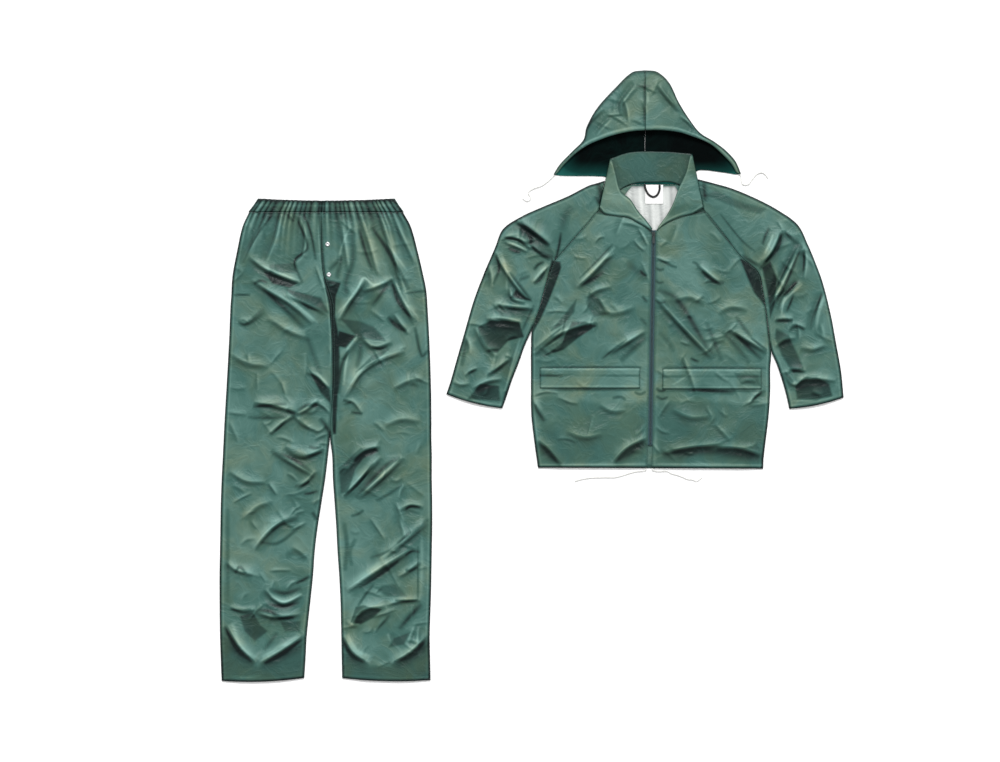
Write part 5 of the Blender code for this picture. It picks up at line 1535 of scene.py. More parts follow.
@dataclass
class Snap:
    """A press stud's cap: a domed disc with a rolled rim and a dimple."""

    name: str
    x: float
    y: float

    def build(self, finish: bpy.types.Material) -> bpy.types.Object:
        """Spin the cap's outline about the stud's axis."""
        low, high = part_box(self.name)
        centre = (np.array(low) + np.array(high)) / 2
        bottom, tall = low[2], high[2] - low[2]
        outline = [(0.0, 0.62), (1.2, 0.64), (2.1, 0.74), (2.9, 0.95), (3.6, 1.0), (4.4, 0.9), (5.1, 0.62),
                   (5.45, 0.34), (5.4, 0.12), (5.0, 0.0), (0.0, 0.0)]
        bm = bmesh.new()
        ring = 40
        lines = []
        for radius, share in outline:
            if radius == 0.0:
                lines.append([bm.verts.new((centre[0], centre[1], bottom + tall * share))])
                continue
            lines.append([
                bm.verts.new((centre[0] + radius * MM * math.cos(2 * math.pi * k / ring),
                              centre[1] + radius * MM * math.sin(2 * math.pi * k / ring), bottom + tall * share))
                for k in range(ring)
            ])
        for upper, lower in zip(lines, lines[1:]):
            for k in range(ring):
                n = (k + 1) % ring
                if len(upper) == 1:
                    bm.faces.new((upper[0], lower[k], lower[n]))
                elif len(lower) == 1:
                    bm.faces.new((upper[k], lower[0], upper[n]))
                else:
                    bm.faces.new((upper[k], lower[k], lower[n], upper[n]))
        bmesh.ops.recalc_face_normals(bm, faces=bm.faces)
        mesh = bpy.data.meshes.new(f"{self.name}_cap")
        bm.to_mesh(mesh)
        bm.free()
        mesh.shade_smooth()
        mesh.set_sharp_from_angle(angle=math.radians(50))
        piece = bpy.data.objects.new(f"{self.name}_cap", mesh)
        bpy.context.scene.collection.objects.link(piece)
        mesh.materials.append(finish)
        return hand_in(piece, "snap_metal", self.name)


@dataclass
class Trousers:
    """The elastic-waist trousers."""

    across: int = 94
    crotch_row: int = 9

    def creases(self) -> Creases:
        """The trousers' folds and shadows."""
        return Creases(Garment.TROUSERS, TROUSER_FOLDS, TROUSER_SHADOWS, TROUSER_PATCHES, puckers=120,
                       area=(232, 225, 424, 668), seed=11)

    def build(self, finishes: Finishes) -> dict[str, ClothPiece]:
        """Make the fronts, the backs, the band and the studs.

        Args:
            finishes: The materials.

        Returns:
            The front pieces, by name.
        """
        creases = self.creases()
        fronts = {
            "trouser_front_left": (TROUSER_LEFT, Rims(0.36, 0.34, 0.1, 0.36), 1),
            "trouser_front_right": (TROUSER_RIGHT, Rims(0.34, 0.36, 0.1, 0.36), 0),
        }
        made = {}
        for name, (rows, rims, sewn) in fronts.items():
            front = TrouserFront(name, rows, Garment.TROUSERS, creases, rims, across=self.across,
                                 sewn_edge=sewn, sewn_above=-560.0)
            front.build(finishes.nylon, (name.replace("front", "back"),))
            made[name] = front
            LOG.info("%s: %d points", name, front.tone.size)
        for name, rows, sign in (("trouser_back_left", TROUSER_LEFT, -1), ("trouser_back_right", TROUSER_RIGHT, 1)):
            cut = []
            for i, row in enumerate(rows):
                if i < self.crotch_row:
                    row = row._replace(x2=-0.3) if sign < 0 else row._replace(x1=0.3)
                cut.append(row)
            back = BackPiece(name, tuple(cut), Garment.TROUSERS, creases, Rims(0, 0, 0, 0), step=9.0, across=26,
                             wall=1.15)
            back.build(finishes.nylon, ())
        Waistband().build(finishes.nylon)
        for snap in (Snap("fly_snap_upper", -5.5, -107.5), Snap("fly_snap_lower", -2.6, -180.5)):
            snap.build(finishes.snap_metal)
        return made


@dataclass
class JacketBody:
    """The jacket's fronts, back, sleeves and pocket flaps."""

    flap_share: tuple[float, float] = (1 / 14, 13 / 14)

    def build(self, finishes: Finishes) -> dict[str, ClothPiece]:
        """Make the body's pieces.

        Args:
            finishes: The materials.

        Returns:
            The fronts and sleeves, by name.
        """
        body = Creases(Garment.JACKET, BODY_FOLDS, BODY_SHADOWS, BODY_PATCHES, puckers=70,
                       area=(540, 225, 766, 456), seed=5)
        left_arm = Creases(Garment.JACKET, SLEEVE_FOLDS, SLEEVE_SHADOWS, SLEEVE_PATCHES, puckers=24,
                           area=(462, 200, 540, 396), seed=8)
        right_arm = Creases(Garment.JACKET, SLEEVE_FOLDS, SLEEVE_SHADOWS, SLEEVE_PATCHES, puckers=24,
                            area=(772, 200, 828, 396), seed=9)
        pieces = {
            "jacket_front_left": ClothPiece("jacket_front_left", JACKET_LEFT, Garment.JACKET, body,
                                            Rims(0.34, 0.06, 0.2, 0.34), across=106, hem_bow=0.0,
                                            sewn_edge=0, sewn_above=345.0),
            "jacket_front_right": ClothPiece("jacket_front_right", JACKET_RIGHT, Garment.JACKET, body,
                                             Rims(0.06, 0.34, 0.2, 0.34), across=106, hem_bow=0.0,
                                             sewn_edge=1, sewn_above=300.0),
            "sleeve_front_left": ClothPiece("sleeve_front_left", SLEEVE_LEFT, Garment.JACKET, left_arm,
                                            Rims(0.36, 0.34, 0.1, 0.36), across=58, sewn_edge=1,
                                            sewn_above=345.0),
            "sleeve_front_right": ClothPiece("sleeve_front_right", SLEEVE_RIGHT, Garment.JACKET, right_arm,
                                             Rims(0.36, 0.34, 0.1, 0.36), across=58, sewn_edge=1,
                                             sewn_above=300.0),
        }
        for name, piece in pieces.items():
            under = "jacket_back" if "front_" in name and "jacket" in name else name.replace("front", "back")
            piece.build(finishes.nylon, (under,))
            LOG.info("%s: %d points", name, piece.tone.size)
        self.build_backs(finishes, body)
        self.build_flap(finishes, pieces["jacket_front_left"], "pocket_flap_left", 242.0, 192.0)
        self.build_flap(finishes, pieces["jacket_front_right"], "pocket_flap_right", 240.0, 190.0)
        return pieces

    def build_backs(self, finishes: Finishes, creases: Creases) -> None:
        """The back and the sleeves' back halves, flat on the surface."""
        rows = [Row(-112, 680.6, 112, 680.6)]
        for left, right in zip(JACKET_LEFT[:10], JACKET_RIGHT[:10]):
            rows.append(Row(left.x1, left.y1, *SLEEVE_EDGE_RIGHT[len(rows) - 1]))
        for left, right in zip(JACKET_LEFT[10:], JACKET_RIGHT[10:]):
            rows.append(Row(left.x1, left.y1, right.x2, right.y2))
        still = Rims(0, 0, 0, 0)
        back = BackPiece("jacket_back", tuple(rows), Garment.JACKET, creases, still, step=9.0, across=56,
                         hem_bow=0.0, wall=1.15)
        back.build(finishes.nylon, ())
        for name, table in (("sleeve_back_left", SLEEVE_LEFT), ("sleeve_back_right", SLEEVE_RIGHT)):
            arm = BackPiece(name, table, Garment.JACKET, creases, still, step=9.0, across=16, wall=1.15)
            arm.build(finishes.nylon, ())

    def build_flap(self, finishes: Finishes, front: ClothPiece, name: str, top: float, bottom: float) -> None:
        """A pocket flap on its front: the front's own surface, moved out by a wall and a gap.

        Args:
            finishes: The materials.
            front: The front that it lies on.
            name: The flap's node.
            top: Its upper edge.
            bottom: Its lower edge.
        """
        low, high = (round(share * (front.grid.shape[1] - 1)) for share in self.flap_share)
        heights = front.grid[:, 0 if name.endswith("left") else -1, 1]
        first = int(np.argmin(np.abs(heights - top)))
        last = int(np.argmin(np.abs(heights - bottom)))
        grid = front.grid[first:last + 1, low:high + 1].copy()
        share = np.linspace(0.0, 1.0, grid.shape[0])[:, None]
        edge = np.minimum(share, 1 - share) * (top - bottom)
        side = np.linspace(0.0, 1.0, grid.shape[1])[None, :]
        sides = np.minimum(side, 1 - side) * 240.0
        grid[..., 2] += 1.8 + 0.9 * ease(edge / 7.0) + 0.5 * np.sin(side * 19.0) * ease(edge / 9.0)
        grid[..., 2] -= 0.5 * (1 - ease(edge / 2.5))
        # The flap keeps the front's painted shade, softened, and adds painted shade along its edges, a painted
        # highlight just inside them, and painted shade in a fold across it.
        tone = front.tone[first:last + 1, low:high + 1] * 0.6 + 0.02
        tone = tone - 0.30 * np.exp(-((edge / 1.8) ** 2)) + 0.16 * np.exp(-(((edge - 4.5) / 2.0) ** 2))
        tone = tone - 0.30 * np.exp(-((sides / 2.5) ** 2))
        fold = np.exp(-(((share * (top - bottom) - 20.0) / 2.2) ** 2))
        tone = tone - 0.22 * fold * (0.6 + 0.4 * np.cos(side * 7.0))
        grid[..., 2] -= 0.6 * fold
        piece = mesh_from_grid(f"{name}_cloth", grid, tone, Garment.JACKET)
        piece.data.materials.append(finishes.nylon)
        give_wall(piece, 0.8)
        hand_in(piece, "coated_nylon", name)


SLEEVE_EDGE_RIGHT = (
    (130, 617), (138, 607), (150, 592), (178, 557), (214, 509), (257, 470), (268, 425), (276, 375),
    (282, 332), (288, 283),
)


@dataclass
class Hood:
    """The hood, laid flat on its back with its mouth towards the neck."""

    edge_radius: float = 2.4
    seam_x: float = -14.5
    wall: float = 1.2
    upper: int = 44
    under: int = 34

    def creases(self) -> Creases:
        """The hood's folds and shadows."""
        return Creases(Garment.JACKET, HOOD_FOLDS, HOOD_SHADOWS, (), puckers=10, area=(600, 84, 690, 126), seed=4)

    def half_grid(self, rows: tuple[HoodRow, ...]) -> tuple[Array, Array]:
        """Points of a hood half and their tone: brim, crown, round the rim, and under to the neck.

        Args:
            rows: The half's table.

        Returns:
            The points in the garment's millimetres, and the tone.
        """
        table = np.array(rows, float)
        count = max(40, round(np.hypot(*np.diff(table[:, 3:5], axis=0).T).sum() / 3.2))
        columns = (slice(0, 3), slice(3, 5), slice(5, 7))
        fine = np.concatenate([curve_through(table[:, k], 24) for k in columns], axis=1)
        chord = np.hypot(*np.diff(fine[:, 3:5], axis=0).T) + np.hypot(*np.diff(fine[:, 0:2], axis=0).T)
        travelled = np.concatenate([[0.0], np.cumsum(chord)])
        wanted = np.linspace(0.0, travelled[-1], count)
        fine = np.stack([np.interp(wanted, travelled, fine[:, k]) for k in range(7)], axis=1)
        rims = fine[:, 3:5]
        grid, kind = [], []
        for i, row in enumerate(fine):
            brim, rim, seat = row[0:2], row[3:5], row[5:7]
            r = self.edge_radius
            along = rims[min(i + 1, count - 1)] - rims[max(i - 1, 0)]
            along = along / np.linalg.norm(along)
            if abs(rim[0] - self.seam_x) < 1.0:
                along = np.array([1.0, 0.0])
            inward = np.array([along[1], -along[0]])
            if inward @ (seat - rim) < 0:
                inward = -inward
            centre = rim + inward * r
            line, kinds = [], []
            for k in range(self.upper):
                t = 1 - k / self.upper
                spot = centre + (brim - centre) * t
                z = 2 * r + (row[2] - 2 * r) * math.sin(t * math.pi / 2)
                line.append((*spot, z))
                kinds.append(t)
            for k in range(9):
                angle = math.pi / 2 - k * math.pi / 8
                spot = centre - inward * r * math.cos(angle)
                line.append((*spot, r + r * math.sin(angle)))
                kinds.append(0.0)
            for k in range(1, self.under):
                spot = centre + (seat - centre) * k / (self.under - 1)
                line.append((*spot, 0.0))
                kinds.append(-k / (self.under - 1))
            grid.append(line)
            kind.append(kinds)
        grid, kind = np.array(grid), np.array(kind)
        height, tone = self.creases().at(grid[..., :2])
        crown = np.clip(kind, 0.0, 1.0)
        grid[..., 2] += np.clip(height, -1.5, 9.0) * ease(crown / 0.16) * ease((1.0 - crown) / 0.10)
        # Painted shade under the brim's edge with a painted highlight behind it, painted shade where the crown turns
        # round its rim, and painted shade along the middle seam.
        tone = np.where(kind > 0, tone, 0.0)
        length = np.hypot(*(fine[:, 0:2] - fine[:, 3:5]).T)[:, None]
        brim_gap = (1 - crown) * length
        tone = tone - np.where(kind > 0, 0.34 * np.exp(-((brim_gap / 2.4) ** 2)), 0.0)
        tone = tone + np.where(kind > 0, 0.20 * np.exp(-(((brim_gap - 8.0) / 2.6) ** 2)), 0.0)
        tone = tone - 0.40 * np.exp(-((crown * length / 4.0) ** 2)) * (kind >= 0)
        seam = np.abs(grid[..., 0] - self.seam_x)
        tone = tone - np.where(kind > 0, 0.22 * np.exp(-((seam / 1.8) ** 2)), 0.0)
        # Painted shade inside the hood's mouth: darker the deeper in and towards the middle, lighter towards its
        # lower edges and sides.
        lower = kind < 0
        deep = ease((grid[..., 1] - 690.0) / 52.0) * ease((238.0 - np.abs(grid[..., 0])) / 70.0)
        tone = np.where(lower, 0.14 - 0.64 * deep, tone)
        return grid, tone

    def build(self, finishes: Finishes) -> None:
        """Make both halves."""
        for name, rows in (("hood_left", HOOD_LEFT), ("hood_right", HOOD_RIGHT)):
            grid, tone = self.half_grid(rows)
            piece = mesh_from_grid(f"{name}_cloth", grid, tone, Garment.JACKET, upward=True)
            piece.data.materials.append(finishes.nylon)
            piece.data.materials.append(finishes.inside)
            give_wall(piece, self.wall, lined=True)
            hand_in(piece, "coated_nylon", name)
            LOG.info("%s: %d points", name, tone.size)


@dataclass
class Collar:
    """The stand collar, which lies open: a strip from one front point round the neck to the other."""

    wall: float = 1.2
    across: int = 22

    def build(self, finishes: Finishes) -> None:
        table = np.array(COLLAR, float)
        seam = spaced_pair(table, 4.0)
        u = np.linspace(0.0, 1.0, self.across + 1)[None, :, None]
        grid = seam[:, None, 0:3] * (1 - u) + seam[:, None, 3:6] * u
        leaf = grid[..., 2] > 6.5
        share = u[..., 0]
        soft = np.sin(grid[..., 1] * 0.055 + grid[..., 0] * 0.03) + 0.6 * np.sin(grid[..., 1] * 0.13 - 0.4)
        rise = np.where(leaf, 0.9 * soft * np.sin(math.pi * share), 0.0)
        grid[..., 2] += np.maximum(rise, -0.2) * ease((grid[..., 2] - 6.9) / 0.8)
        # Painted shade on the collar's back, a little painted shading from the leaves' ripples, painted shade along
        # both long edges with a painted highlight just inside on the leaves, and painted shade in the fold where the
        # leaves turn to the back.
        tone = np.where(leaf, 0.05 * soft * np.sin(math.pi * share) + 0.02, -0.14)
        width = np.linalg.norm(seam[:, 3:6] - seam[:, 0:3], axis=-1)[:, None]
        for gap in (share * width, (1 - share) * width):
            tone = tone - np.where(leaf, 0.36, 0.30) * np.exp(-((gap / 2.4) ** 2))
            tone = tone + np.where(leaf, 0.16, 0.0) * np.exp(-(((gap - 6.5) / 2.0) ** 2))
        tone = tone - 0.30 * np.exp(-((np.abs(grid[..., 2] - 5.5) / 1.6) ** 2))
        piece = mesh_from_grid("collar_cloth", grid, tone, Garment.JACKET, upward=True)
        piece.data.materials.append(finishes.nylon)
        give_wall(piece, self.wall, offset=1.0)
        hand_in(piece, "coated_nylon", "collar")
        cut_size(grid.transpose(1, 0, 2))


def spaced_pair(table: Array, step: float) -> Array:
    """Rows at an even step between the rows of a table, by its first three columns' curve."""
    fine = curve_through(table, 24)
    edges = (fine[:, 3:6], fine[:, :3])
    chord = sum(np.linalg.norm(np.diff(edge, axis=0), axis=1) for edge in edges)
    travelled = np.concatenate([[0.0], np.cumsum(chord / 2)])
    wanted = np.linspace(0.0, travelled[-1], max(8, round(travelled[-1] / step)))
    return np.stack([np.interp(wanted, travelled, fine[:, k]) for k in range(fine.shape[1])], axis=1)


@dataclass
class Neck:
    """What shows inside the open neck: the soft lining, the blank label and the hanger loop."""

    loop_radius: float = 1.1

    def build(self, finishes: Finishes) -> None:
        """Make the three pieces."""
        still = Rims(0.3, 0.3, 0.2, 0.2)
        lining = ClothPiece("neck_lining", NECK_LINING, Garment.JACKET,
                            Creases(Garment.JACKET, (), ()), still, across=46, hem_bow=0.0, floor=2.6)
        points = lining.plan_points()
        x, y = points[..., 0], points[..., 1]
        ripple = np.sin(x * 0.21 + 0.8 * np.sin(y * 0.05)) + 0.5 * np.sin(x * 0.47 + y * 0.03)
        first, second, start, end = lining.edge_distances(points)
        near = np.minimum(np.minimum(first, second), np.minimum(start, end))
        fade = ease(near / 8.0) * ease((648.0 - y) / 14.0)
        grid = np.dstack([points, 2.8 + 0.22 * ripple * fade])
        # A little painted shading from the lining's ripples, painted shade along its edges, and painted shade at its
        # top next to the collar.
        tone = 0.14 * ripple * ease(near / 6.0) + 0.10 - 0.45 * np.exp(-near / 5.0)
        tone = tone - 0.5 * ease((y - 672.0) / 10.0)
        piece = mesh_from_grid("neck_lining_cloth", grid, tone, Garment.JACKET)
        piece.data.materials.append(finishes.lining)
        give_wall(piece, 0.8)
        hand_in(piece, "lining", "neck_lining")
        self.build_label(finishes)
        self.build_loop(finishes)

    def build_label(self, finishes: Finishes) -> None:
        """A blank woven label with turned-in edges."""
        x, y = np.meshgrid(np.linspace(-14, 29, 30), np.linspace(680, 634, 32))
        near = np.minimum(np.minimum(x + 14, 29 - x), np.minimum(680 - y, y - 634))
        z = 3.7 + 0.35 * ease(near / 1.2) * (1 - ease((near - 2.6) / 1.2)) + 0.12 * np.sin(x * 0.2 + 1.0)
        # Painted shade along the step of the turned-in edges and at the very edge.
        tone = -0.16 * np.exp(-(((near - 2.6) / 0.7) ** 2)) - 0.12 * np.exp(-near / 0.8) + 0.05
        grid = np.dstack([x, y, z])
        piece = mesh_from_grid("neck_label_cloth", grid, tone, Garment.JACKET)
        piece.data.materials.append(finishes.label)
        give_wall(piece, 0.45)
        hand_in(piece, "label", "neck_label")

    def build_loop(self, finishes: Finishes) -> None:
        """The hanger loop, a narrow round tape sewn in at both ends."""
        route = spaced_curve(np.array(HANGER_LOOP, float), 2.0)
        piece = tube_mesh("hanger_loop_tape", route, self.loop_radius, Garment.JACKET, lobes=0, ring=14, flat=2.3)
        piece.data.materials.append(finishes.black_tape)
        hand_in(piece, "black_tape", "hanger_loop")


def tube_mesh(name: str, route: Array, radius: float, garment: Garment, lobes: int = 3,
              ring: int = 15, lay: float = 9.0, flat: float = 1.0) -> bpy.types.Object:
    """A closed tube along a route, round or twisted of strands.

    Args:
        name: The piece's name.
        route: Its centre line in the garment's millimetres.
        radius: Its radius in millimetres.
        garment: The garment that the route is measured from.
        lobes: How many strands it is twisted of, 0 for a round tube.
        ring: Points round it.
        lay: The length of one turn of the strands.
        flat: How many times wider than high it is.

    Returns:
        The new object.
    """
    tangents = np.gradient(route, axis=0)
    tangents /= np.linalg.norm(tangents, axis=1)[:, None]
    side = np.cross(tangents, np.array([0.0, 0.0, 1.0]))
    side /= np.linalg.norm(side, axis=1)[:, None]
    up = np.cross(side, tangents)
    step = np.linalg.norm(np.diff(route, axis=0), axis=1)
    travelled = np.concatenate([[0.0], np.cumsum(step)])
    theta = np.arange(ring) * 2 * math.pi / ring
    phase = theta[None, :] * max(lobes, 1) - 2 * math.pi * travelled[:, None] / lay
    size = radius * (0.93 + 0.10 * np.cos(phase)) if lobes else np.full((len(route), ring), radius)
    points = route[:, None, :] + size[..., None] * (
        flat * np.cos(theta)[None, :, None] * side[:, None, :] + np.sin(theta)[None, :, None] * up[:, None, :]
    )
    shift = np.array([*garment.value, 0.0])
    verts = ((points.reshape(-1, 3) + shift) * MM).tolist()
    verts += [((route[0] + shift) * MM).tolist(), ((route[-1] + shift) * MM).tolist()]
    count = len(route)
    faces = []
    for i in range(count - 1):
        for k in range(ring):
            n = (k + 1) % ring
            faces.append((i * ring + k, i * ring + n, (i + 1) * ring + n, (i + 1) * ring + k))
    start, end = count * ring, count * ring + 1
    for k in range(ring):
        n = (k + 1) % ring
        faces.append((start, n, k))
        faces.append((end, (count - 1) * ring + k, (count - 1) * ring + n))
    mesh = bpy.data.meshes.new(name)
    mesh.from_pydata(verts, [], faces)
    bm = bmesh.new()
    bm.from_mesh(mesh)
    bmesh.ops.recalc_face_normals(bm, faces=bm.faces)
    bm.to_mesh(mesh)
    bm.free()
    # Painted highlight on the twisted strands and painted shade between them.
    tone = np.concatenate([(0.5 + 0.28 * np.cos(phase) * (1 if lobes else 0) - 0.05).reshape(-1), [0.5, 0.5]])
    layer = mesh.attributes.new("tone", "FLOAT", "POINT")
    layer.data.foreach_set("value", tone.astype(np.float32))
    mesh.shade_smooth()
    piece = bpy.data.objects.new(name, mesh)
    bpy.context.scene.collection.objects.link(piece)
    return piece


@dataclass
class Drawcords:
    """The hood's and the hem's drawstrings: twisted white cord with bare ends."""

    radius: float = 1.5
    spacing: float = 1.3

    def build(self, finishes: Finishes) -> None:
        routes = {
            "hood_cord_left": HOOD_CORD_LEFT, "hood_cord_right": HOOD_CORD_RIGHT,
            "hem_cord_left": HEM_CORD_LEFT, "hem_cord_right": HEM_CORD_RIGHT,
        }
        for name, stations in routes.items():
            route = spaced_curve(np.array(stations, float), self.spacing)
            piece = tube_mesh(f"{name}_yarn", route, self.radius, Garment.JACKET)
            piece.data.materials.append(finishes.cord)
            hand_in(piece, "cord", name)


class StitchTree:
    """Geometry Nodes that sew a line of stitches, or set a row of zip teeth, along a path."""

    def __init__(self, name: str, finish: bpy.types.Material) -> None:
        group = bpy.data.node_groups.new(name, "GeometryNodeTree")
        sockets = {"Spacing": 0.0035, "Length": 0.0026, "Width": 0.0007, "Turn": 0.0}
        self.ids = {}
        group.interface.new_socket("Geometry", in_out="INPUT", socket_type="NodeSocketGeometry")
        for label, value in sockets.items():
            socket = group.interface.new_socket(label, in_out="INPUT", socket_type="NodeSocketFloat")
            socket.default_value = value
            self.ids[label] = socket.identifier
        group.interface.new_socket("Geometry", in_out="OUTPUT", socket_type="NodeSocketGeometry")
        tree = Tree(group)
        given, out = tree.add("NodeGroupInput"), tree.add("NodeGroupOutput")
        path = tree.add("GeometryNodeMeshToCurve")
        tree.link(given.outputs["Geometry"], path.inputs["Mesh"])
        even = tree.add("GeometryNodeResampleCurve", mode="LENGTH")
        tree.link(path.outputs[0], even.inputs["Curve"])
        tree.link(given.outputs["Spacing"], even.inputs["Length"])
        bead = tree.add("GeometryNodeMeshIcoSphere")
        bead.inputs["Radius"].default_value = 0.5
        bead.inputs["Subdivisions"].default_value = 1
        size = tree.add("ShaderNodeCombineXYZ")
        tree.link(given.outputs["Length"], size.inputs["X"])
        tree.link(given.outputs["Width"], size.inputs["Y"])
        tree.link(given.outputs["Width"], size.inputs["Z"])
        shape = tree.add("GeometryNodeTransform")
        tree.link(bead.outputs[0], shape.inputs["Geometry"])
        tree.link(size.outputs[0], shape.inputs["Scale"])
        tangent = tree.add("GeometryNodeInputTangent")
        align = tree.add("FunctionNodeAlignRotationToVector", axis="X")
        tree.link(tangent.outputs[0], align.inputs["Vector"])
        turned = tree.add("FunctionNodeRotateRotation", rotation_space="LOCAL")
        angle = tree.add("ShaderNodeCombineXYZ")
        tree.link(given.outputs["Turn"], angle.inputs["Z"])
        tree.link(align.outputs[0], turned.inputs["Rotation"])
        tree.link(angle.outputs[0], turned.inputs["Rotate By"])
        placed = tree.add("GeometryNodeInstanceOnPoints")
        tree.link(even.outputs[0], placed.inputs["Points"])
        tree.link(shape.outputs[0], placed.inputs["Instance"])
        tree.link(turned.outputs[0], placed.inputs["Rotation"])
        real = tree.add("GeometryNodeRealizeInstances")
        tree.link(placed.outputs[0], real.inputs[0])
        dressed = tree.add("GeometryNodeSetMaterial")
        dressed.inputs["Material"].default_value = finish
        tree.link(real.outputs[0], dressed.inputs["Geometry"])
        tree.link(dressed.outputs[0], out.inputs[0])
        self.group = group

    def sew(self, name: str, paths: list[Array], **sizes: float) -> bpy.types.Object:
        """Make one mesh of stitches along some paths.

        Args:
            name: The piece's name.
            paths: The paths in metres, one array a path.
            **sizes: The tree's inputs, in metres and radians.

        Returns:
            The plain mesh, with the tree's modifier gone.
        """
        verts, edges = [], []
        for path in paths:
            edges += [(len(verts) + k, len(verts) + k + 1) for k in range(len(path) - 1)]
            verts += path.tolist()
        guide = bpy.data.meshes.new(f"{name}_path")
        guide.from_pydata(verts, edges, [])
        carrier = bpy.data.objects.new(f"{name}_path", guide)
        bpy.context.scene.collection.objects.link(carrier)
        modifier = carrier.modifiers.new("stitches", "NODES")
        modifier.node_group = self.group
        for label, value in sizes.items():
            modifier[self.ids[label]] = value
        graph = bpy.context.evaluated_depsgraph_get()
        mesh = bpy.data.meshes.new_from_object(carrier.evaluated_get(graph))
        mesh.shade_smooth()
        bpy.data.objects.remove(carrier, do_unlink=True)
        piece = bpy.data.objects.new(name, mesh)
        bpy.context.scene.collection.objects.link(piece)
        return piece


@dataclass
class Sewing:
    """The visible seams: hems and cuffs, the jacket's raglan seams and front edges, and the trousers' centre front
    and fly.
    """

    spacing: float = 0.0042

    @staticmethod
    def along_row(piece: ClothPiece, inset: float, end: str) -> Array:
        """A path on a piece that keeps its distance from one edge.

        Args:
            piece: The piece.
            inset: How far from the edge, in millimetres.
            end: "first", "second", "start" or "end".

        Returns:
            The path in metres.
        """
        distances = dict(zip(("first", "second", "start", "end"), piece.edge_distances(piece.grid[..., :2])))
        field = distances[end]
        lines = []
        across = end in ("start", "end")
        count = piece.grid.shape[1] if across else piece.grid.shape[0]
        for k in range(count):
            column = piece.grid[:, k] if across else piece.grid[k]
            values = field[:, k] if across else field[k]
            order = np.argsort(values)
            lines.append([np.interp(inset, values[order], column[order, axis]) for axis in range(3)])
        path = np.array(lines)
        path[:, 2] += 0.12
        return (path + np.array([*piece.garment.value, 0.0])) * MM

    def build(self, finishes: Finishes, pieces: dict[str, ClothPiece]) -> None:
        """Sew all lines as one mesh.

        Args:
            finishes: The materials.
            pieces: The laid pieces, by name.
        """
        paths = []
        for name, piece in pieces.items():
            paths.append(self.along_row(piece, 9.0 if "jacket" in name else 20.0, "end"))
            if name.startswith("jacket"):
                outer, inner = ("first", "second") if name.endswith("left") else ("second", "first")
                paths.append(self.along_row(piece, 2.6, inner))
                paths.append(self.along_row(piece, 2.6, outer)[:90])
            if name.startswith("trouser"):
                inner = "second" if name.endswith("left") else "first"
                paths.append(self.along_row(piece, 2.6, inner))
        tree = StitchTree("seam_stitches", finishes.thread)
        piece = tree.sew("seam_stitches", paths, Spacing=self.spacing, Length=0.0031, Width=0.0009)
        hand_in(piece, "coated_nylon")
        LOG.info("seam stitches: %d faces", len(piece.data.polygons))


@dataclass
class FrontZip:
    """The closed coil zip: two woven tapes, the coil's teeth and the slider with its pull tab."""

    top: float = 571.0
    bottom: float = 55.0
    tape_z: float = 4.1
    tooth_pitch: float = 0.0019

    @staticmethod
    def centre_x(y: Array) -> Array:
        """The zip's centre line, which leans a little to the right towards the neck."""
        return 6.0 - 8.0 * (574.0 - y) / 519.0

    def build(self, finishes: Finishes) -> None:
        """Make the tapes and the coil, and finish the slider and its tab."""
        y = np.linspace(self.top, self.bottom, 170)[:, None]
        for name, nodes, low, high in (("zip_tape_left", ("zip_tape",), -12.7, -0.15),
                                       ("zip_tape_right", (), 0.15, 12.7)):
            x = self.centre_x(y) + np.linspace(low, high, 9)[None, :]
            middle = np.abs(np.linspace(low, high, 9))[None, :]
            z = self.tape_z - 0.25 * np.exp(-middle / 2.0) + 0.0 * y
            tone = -0.20 * np.exp(-((middle / 3.0) ** 2)) - 0.20 * ease((middle - 4.6) / 1.2) + 0.0 * y
            grid = np.dstack([x, y + 0.0 * x, z])
            piece = mesh_from_grid(f"{name}_cloth", grid, tone, Garment.JACKET)
            piece.data.materials.append(finishes.zip_tape)
            give_wall(piece, 0.7)
            hand_in(piece, "zip_tape", *nodes)
        tree = StitchTree("coil_teeth", finishes.zip_coil)
        steps = np.linspace(self.top - 1.0, self.bottom + 1.0, 120)
        paths = []
        for side in (-1, 1):
            path = np.stack([self.centre_x(steps) + side * 1.25, steps, np.full_like(steps, 5.15)], axis=1)
            paths.append((path + np.array([*JACKET_AT, 0.0])) * MM)
        coil = tree.sew("zip_coil_teeth", paths, Spacing=self.tooth_pitch, Length=0.0034, Width=0.0015,
                        Turn=math.radians(90.0))
        hand_in(coil, "zip_coil", "zip_chain")
        for node in ("zip_slider", "zip_pull_tab"):
            thing = frame["nodes"][node]
            thing.data.materials.clear()
            thing.data.materials.append(finishes.dark_metal)


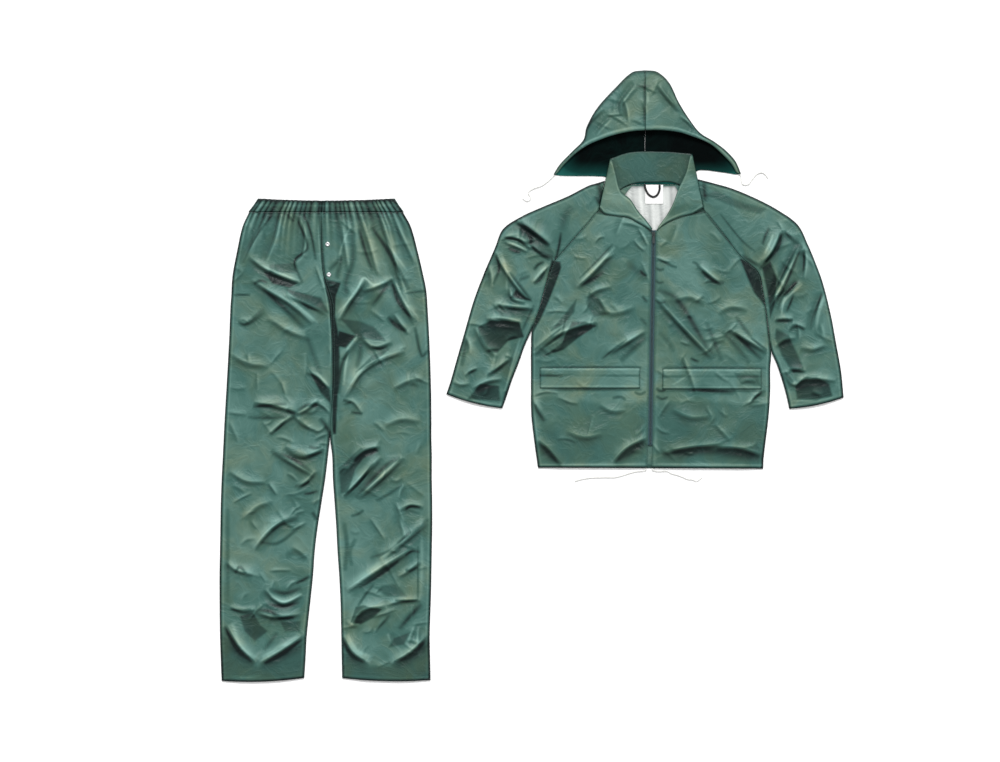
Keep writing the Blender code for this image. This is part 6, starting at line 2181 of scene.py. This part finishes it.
@dataclass
class Studio:
    """A pale plain floor, soft light from the top of the picture, and the overhead camera."""

    view_width: float = 2.4
    lens: float = 100.0
    sensor: float = 36.0

    def build(self) -> None:
        """Make the floor, the lights and the camera."""
        self.build_camera()
        bpy.ops.mesh.primitive_plane_add(size=14.0, location=(0.0, 0.0, -0.0006))
        floor = bpy.context.object
        floor.name = "floor"
        material = bpy.data.materials.new("pale_floor")
        material.use_nodes = True
        shader = material.node_tree.nodes["Principled BSDF"]
        shader.inputs["Base Color"].default_value = (0.93, 0.93, 0.93, 1.0)
        shader.inputs["Roughness"].default_value = 0.95
        shader.inputs["Specular IOR Level"].default_value = 0.0
        floor.data.materials.append(material)
        self.sun("key", (0.0, 46.0), 3.1, 0.35)
        self.sun("side", (-72.0, 58.0), 0.8, 0.9)
        self.sun("far_side", (75.0, 62.0), 0.5, 0.9)
        world = bpy.data.worlds.new("studio")
        world.use_nodes = True
        world.node_tree.nodes["Background"].inputs["Color"].default_value = (1.0, 1.0, 1.0, 1.0)
        world.node_tree.nodes["Background"].inputs["Strength"].default_value = 0.60
        bpy.context.scene.world = world
        bpy.context.scene.view_settings.view_transform = "Standard"

    def build_camera(self) -> None:
        """The camera, straight above the middle of the photograph's frame."""
        data = bpy.data.cameras.new("overhead")
        data.lens, data.sensor_width = self.lens, self.sensor
        data.clip_end = 40.0
        camera = bpy.data.objects.new("overhead", data)
        camera.location = (-0.0758, -0.0120, self.view_width * self.lens / self.sensor)
        bpy.context.scene.collection.objects.link(camera)
        bpy.context.scene.camera = camera

    @staticmethod
    def sun(name: str, towards: tuple[float, float], strength: float, size: float) -> None:
        """A soft distant light.

        Args:
            name: Its name.
            towards: Its bearing from the top of the picture and its tilt from straight down, in degrees.
            strength: Its strength.
            size: Its angular size in radians.
        """
        data = bpy.data.lights.new(name, "SUN")
        data.energy, data.angle = strength, size
        lamp = bpy.data.objects.new(name, data)
        bearing, tilt = (math.radians(v) for v in towards)
        aim = Vector((-math.sin(bearing) * math.sin(tilt), math.cos(bearing) * math.sin(tilt), math.cos(tilt)))
        lamp.rotation_euler = aim.to_track_quat("Z", "Y").to_euler()
        bpy.context.scene.collection.objects.link(lamp)


def main() -> None:
    """Build the suit in order and report each part."""
    logging.basicConfig(level=logging.INFO, format="%(message)s")
    Studio().build()
    finishes = Finishes()
    Drawcords().build(finishes)
    laid = Trousers().build(finishes)
    laid.update(JacketBody().build(finishes))
    Hood().build(finishes)
    Collar().build(finishes)
    Neck().build(finishes)
    FrontZip().build(finishes)
    Sewing().build(finishes, laid)


if __name__ == "__main__":
    main()
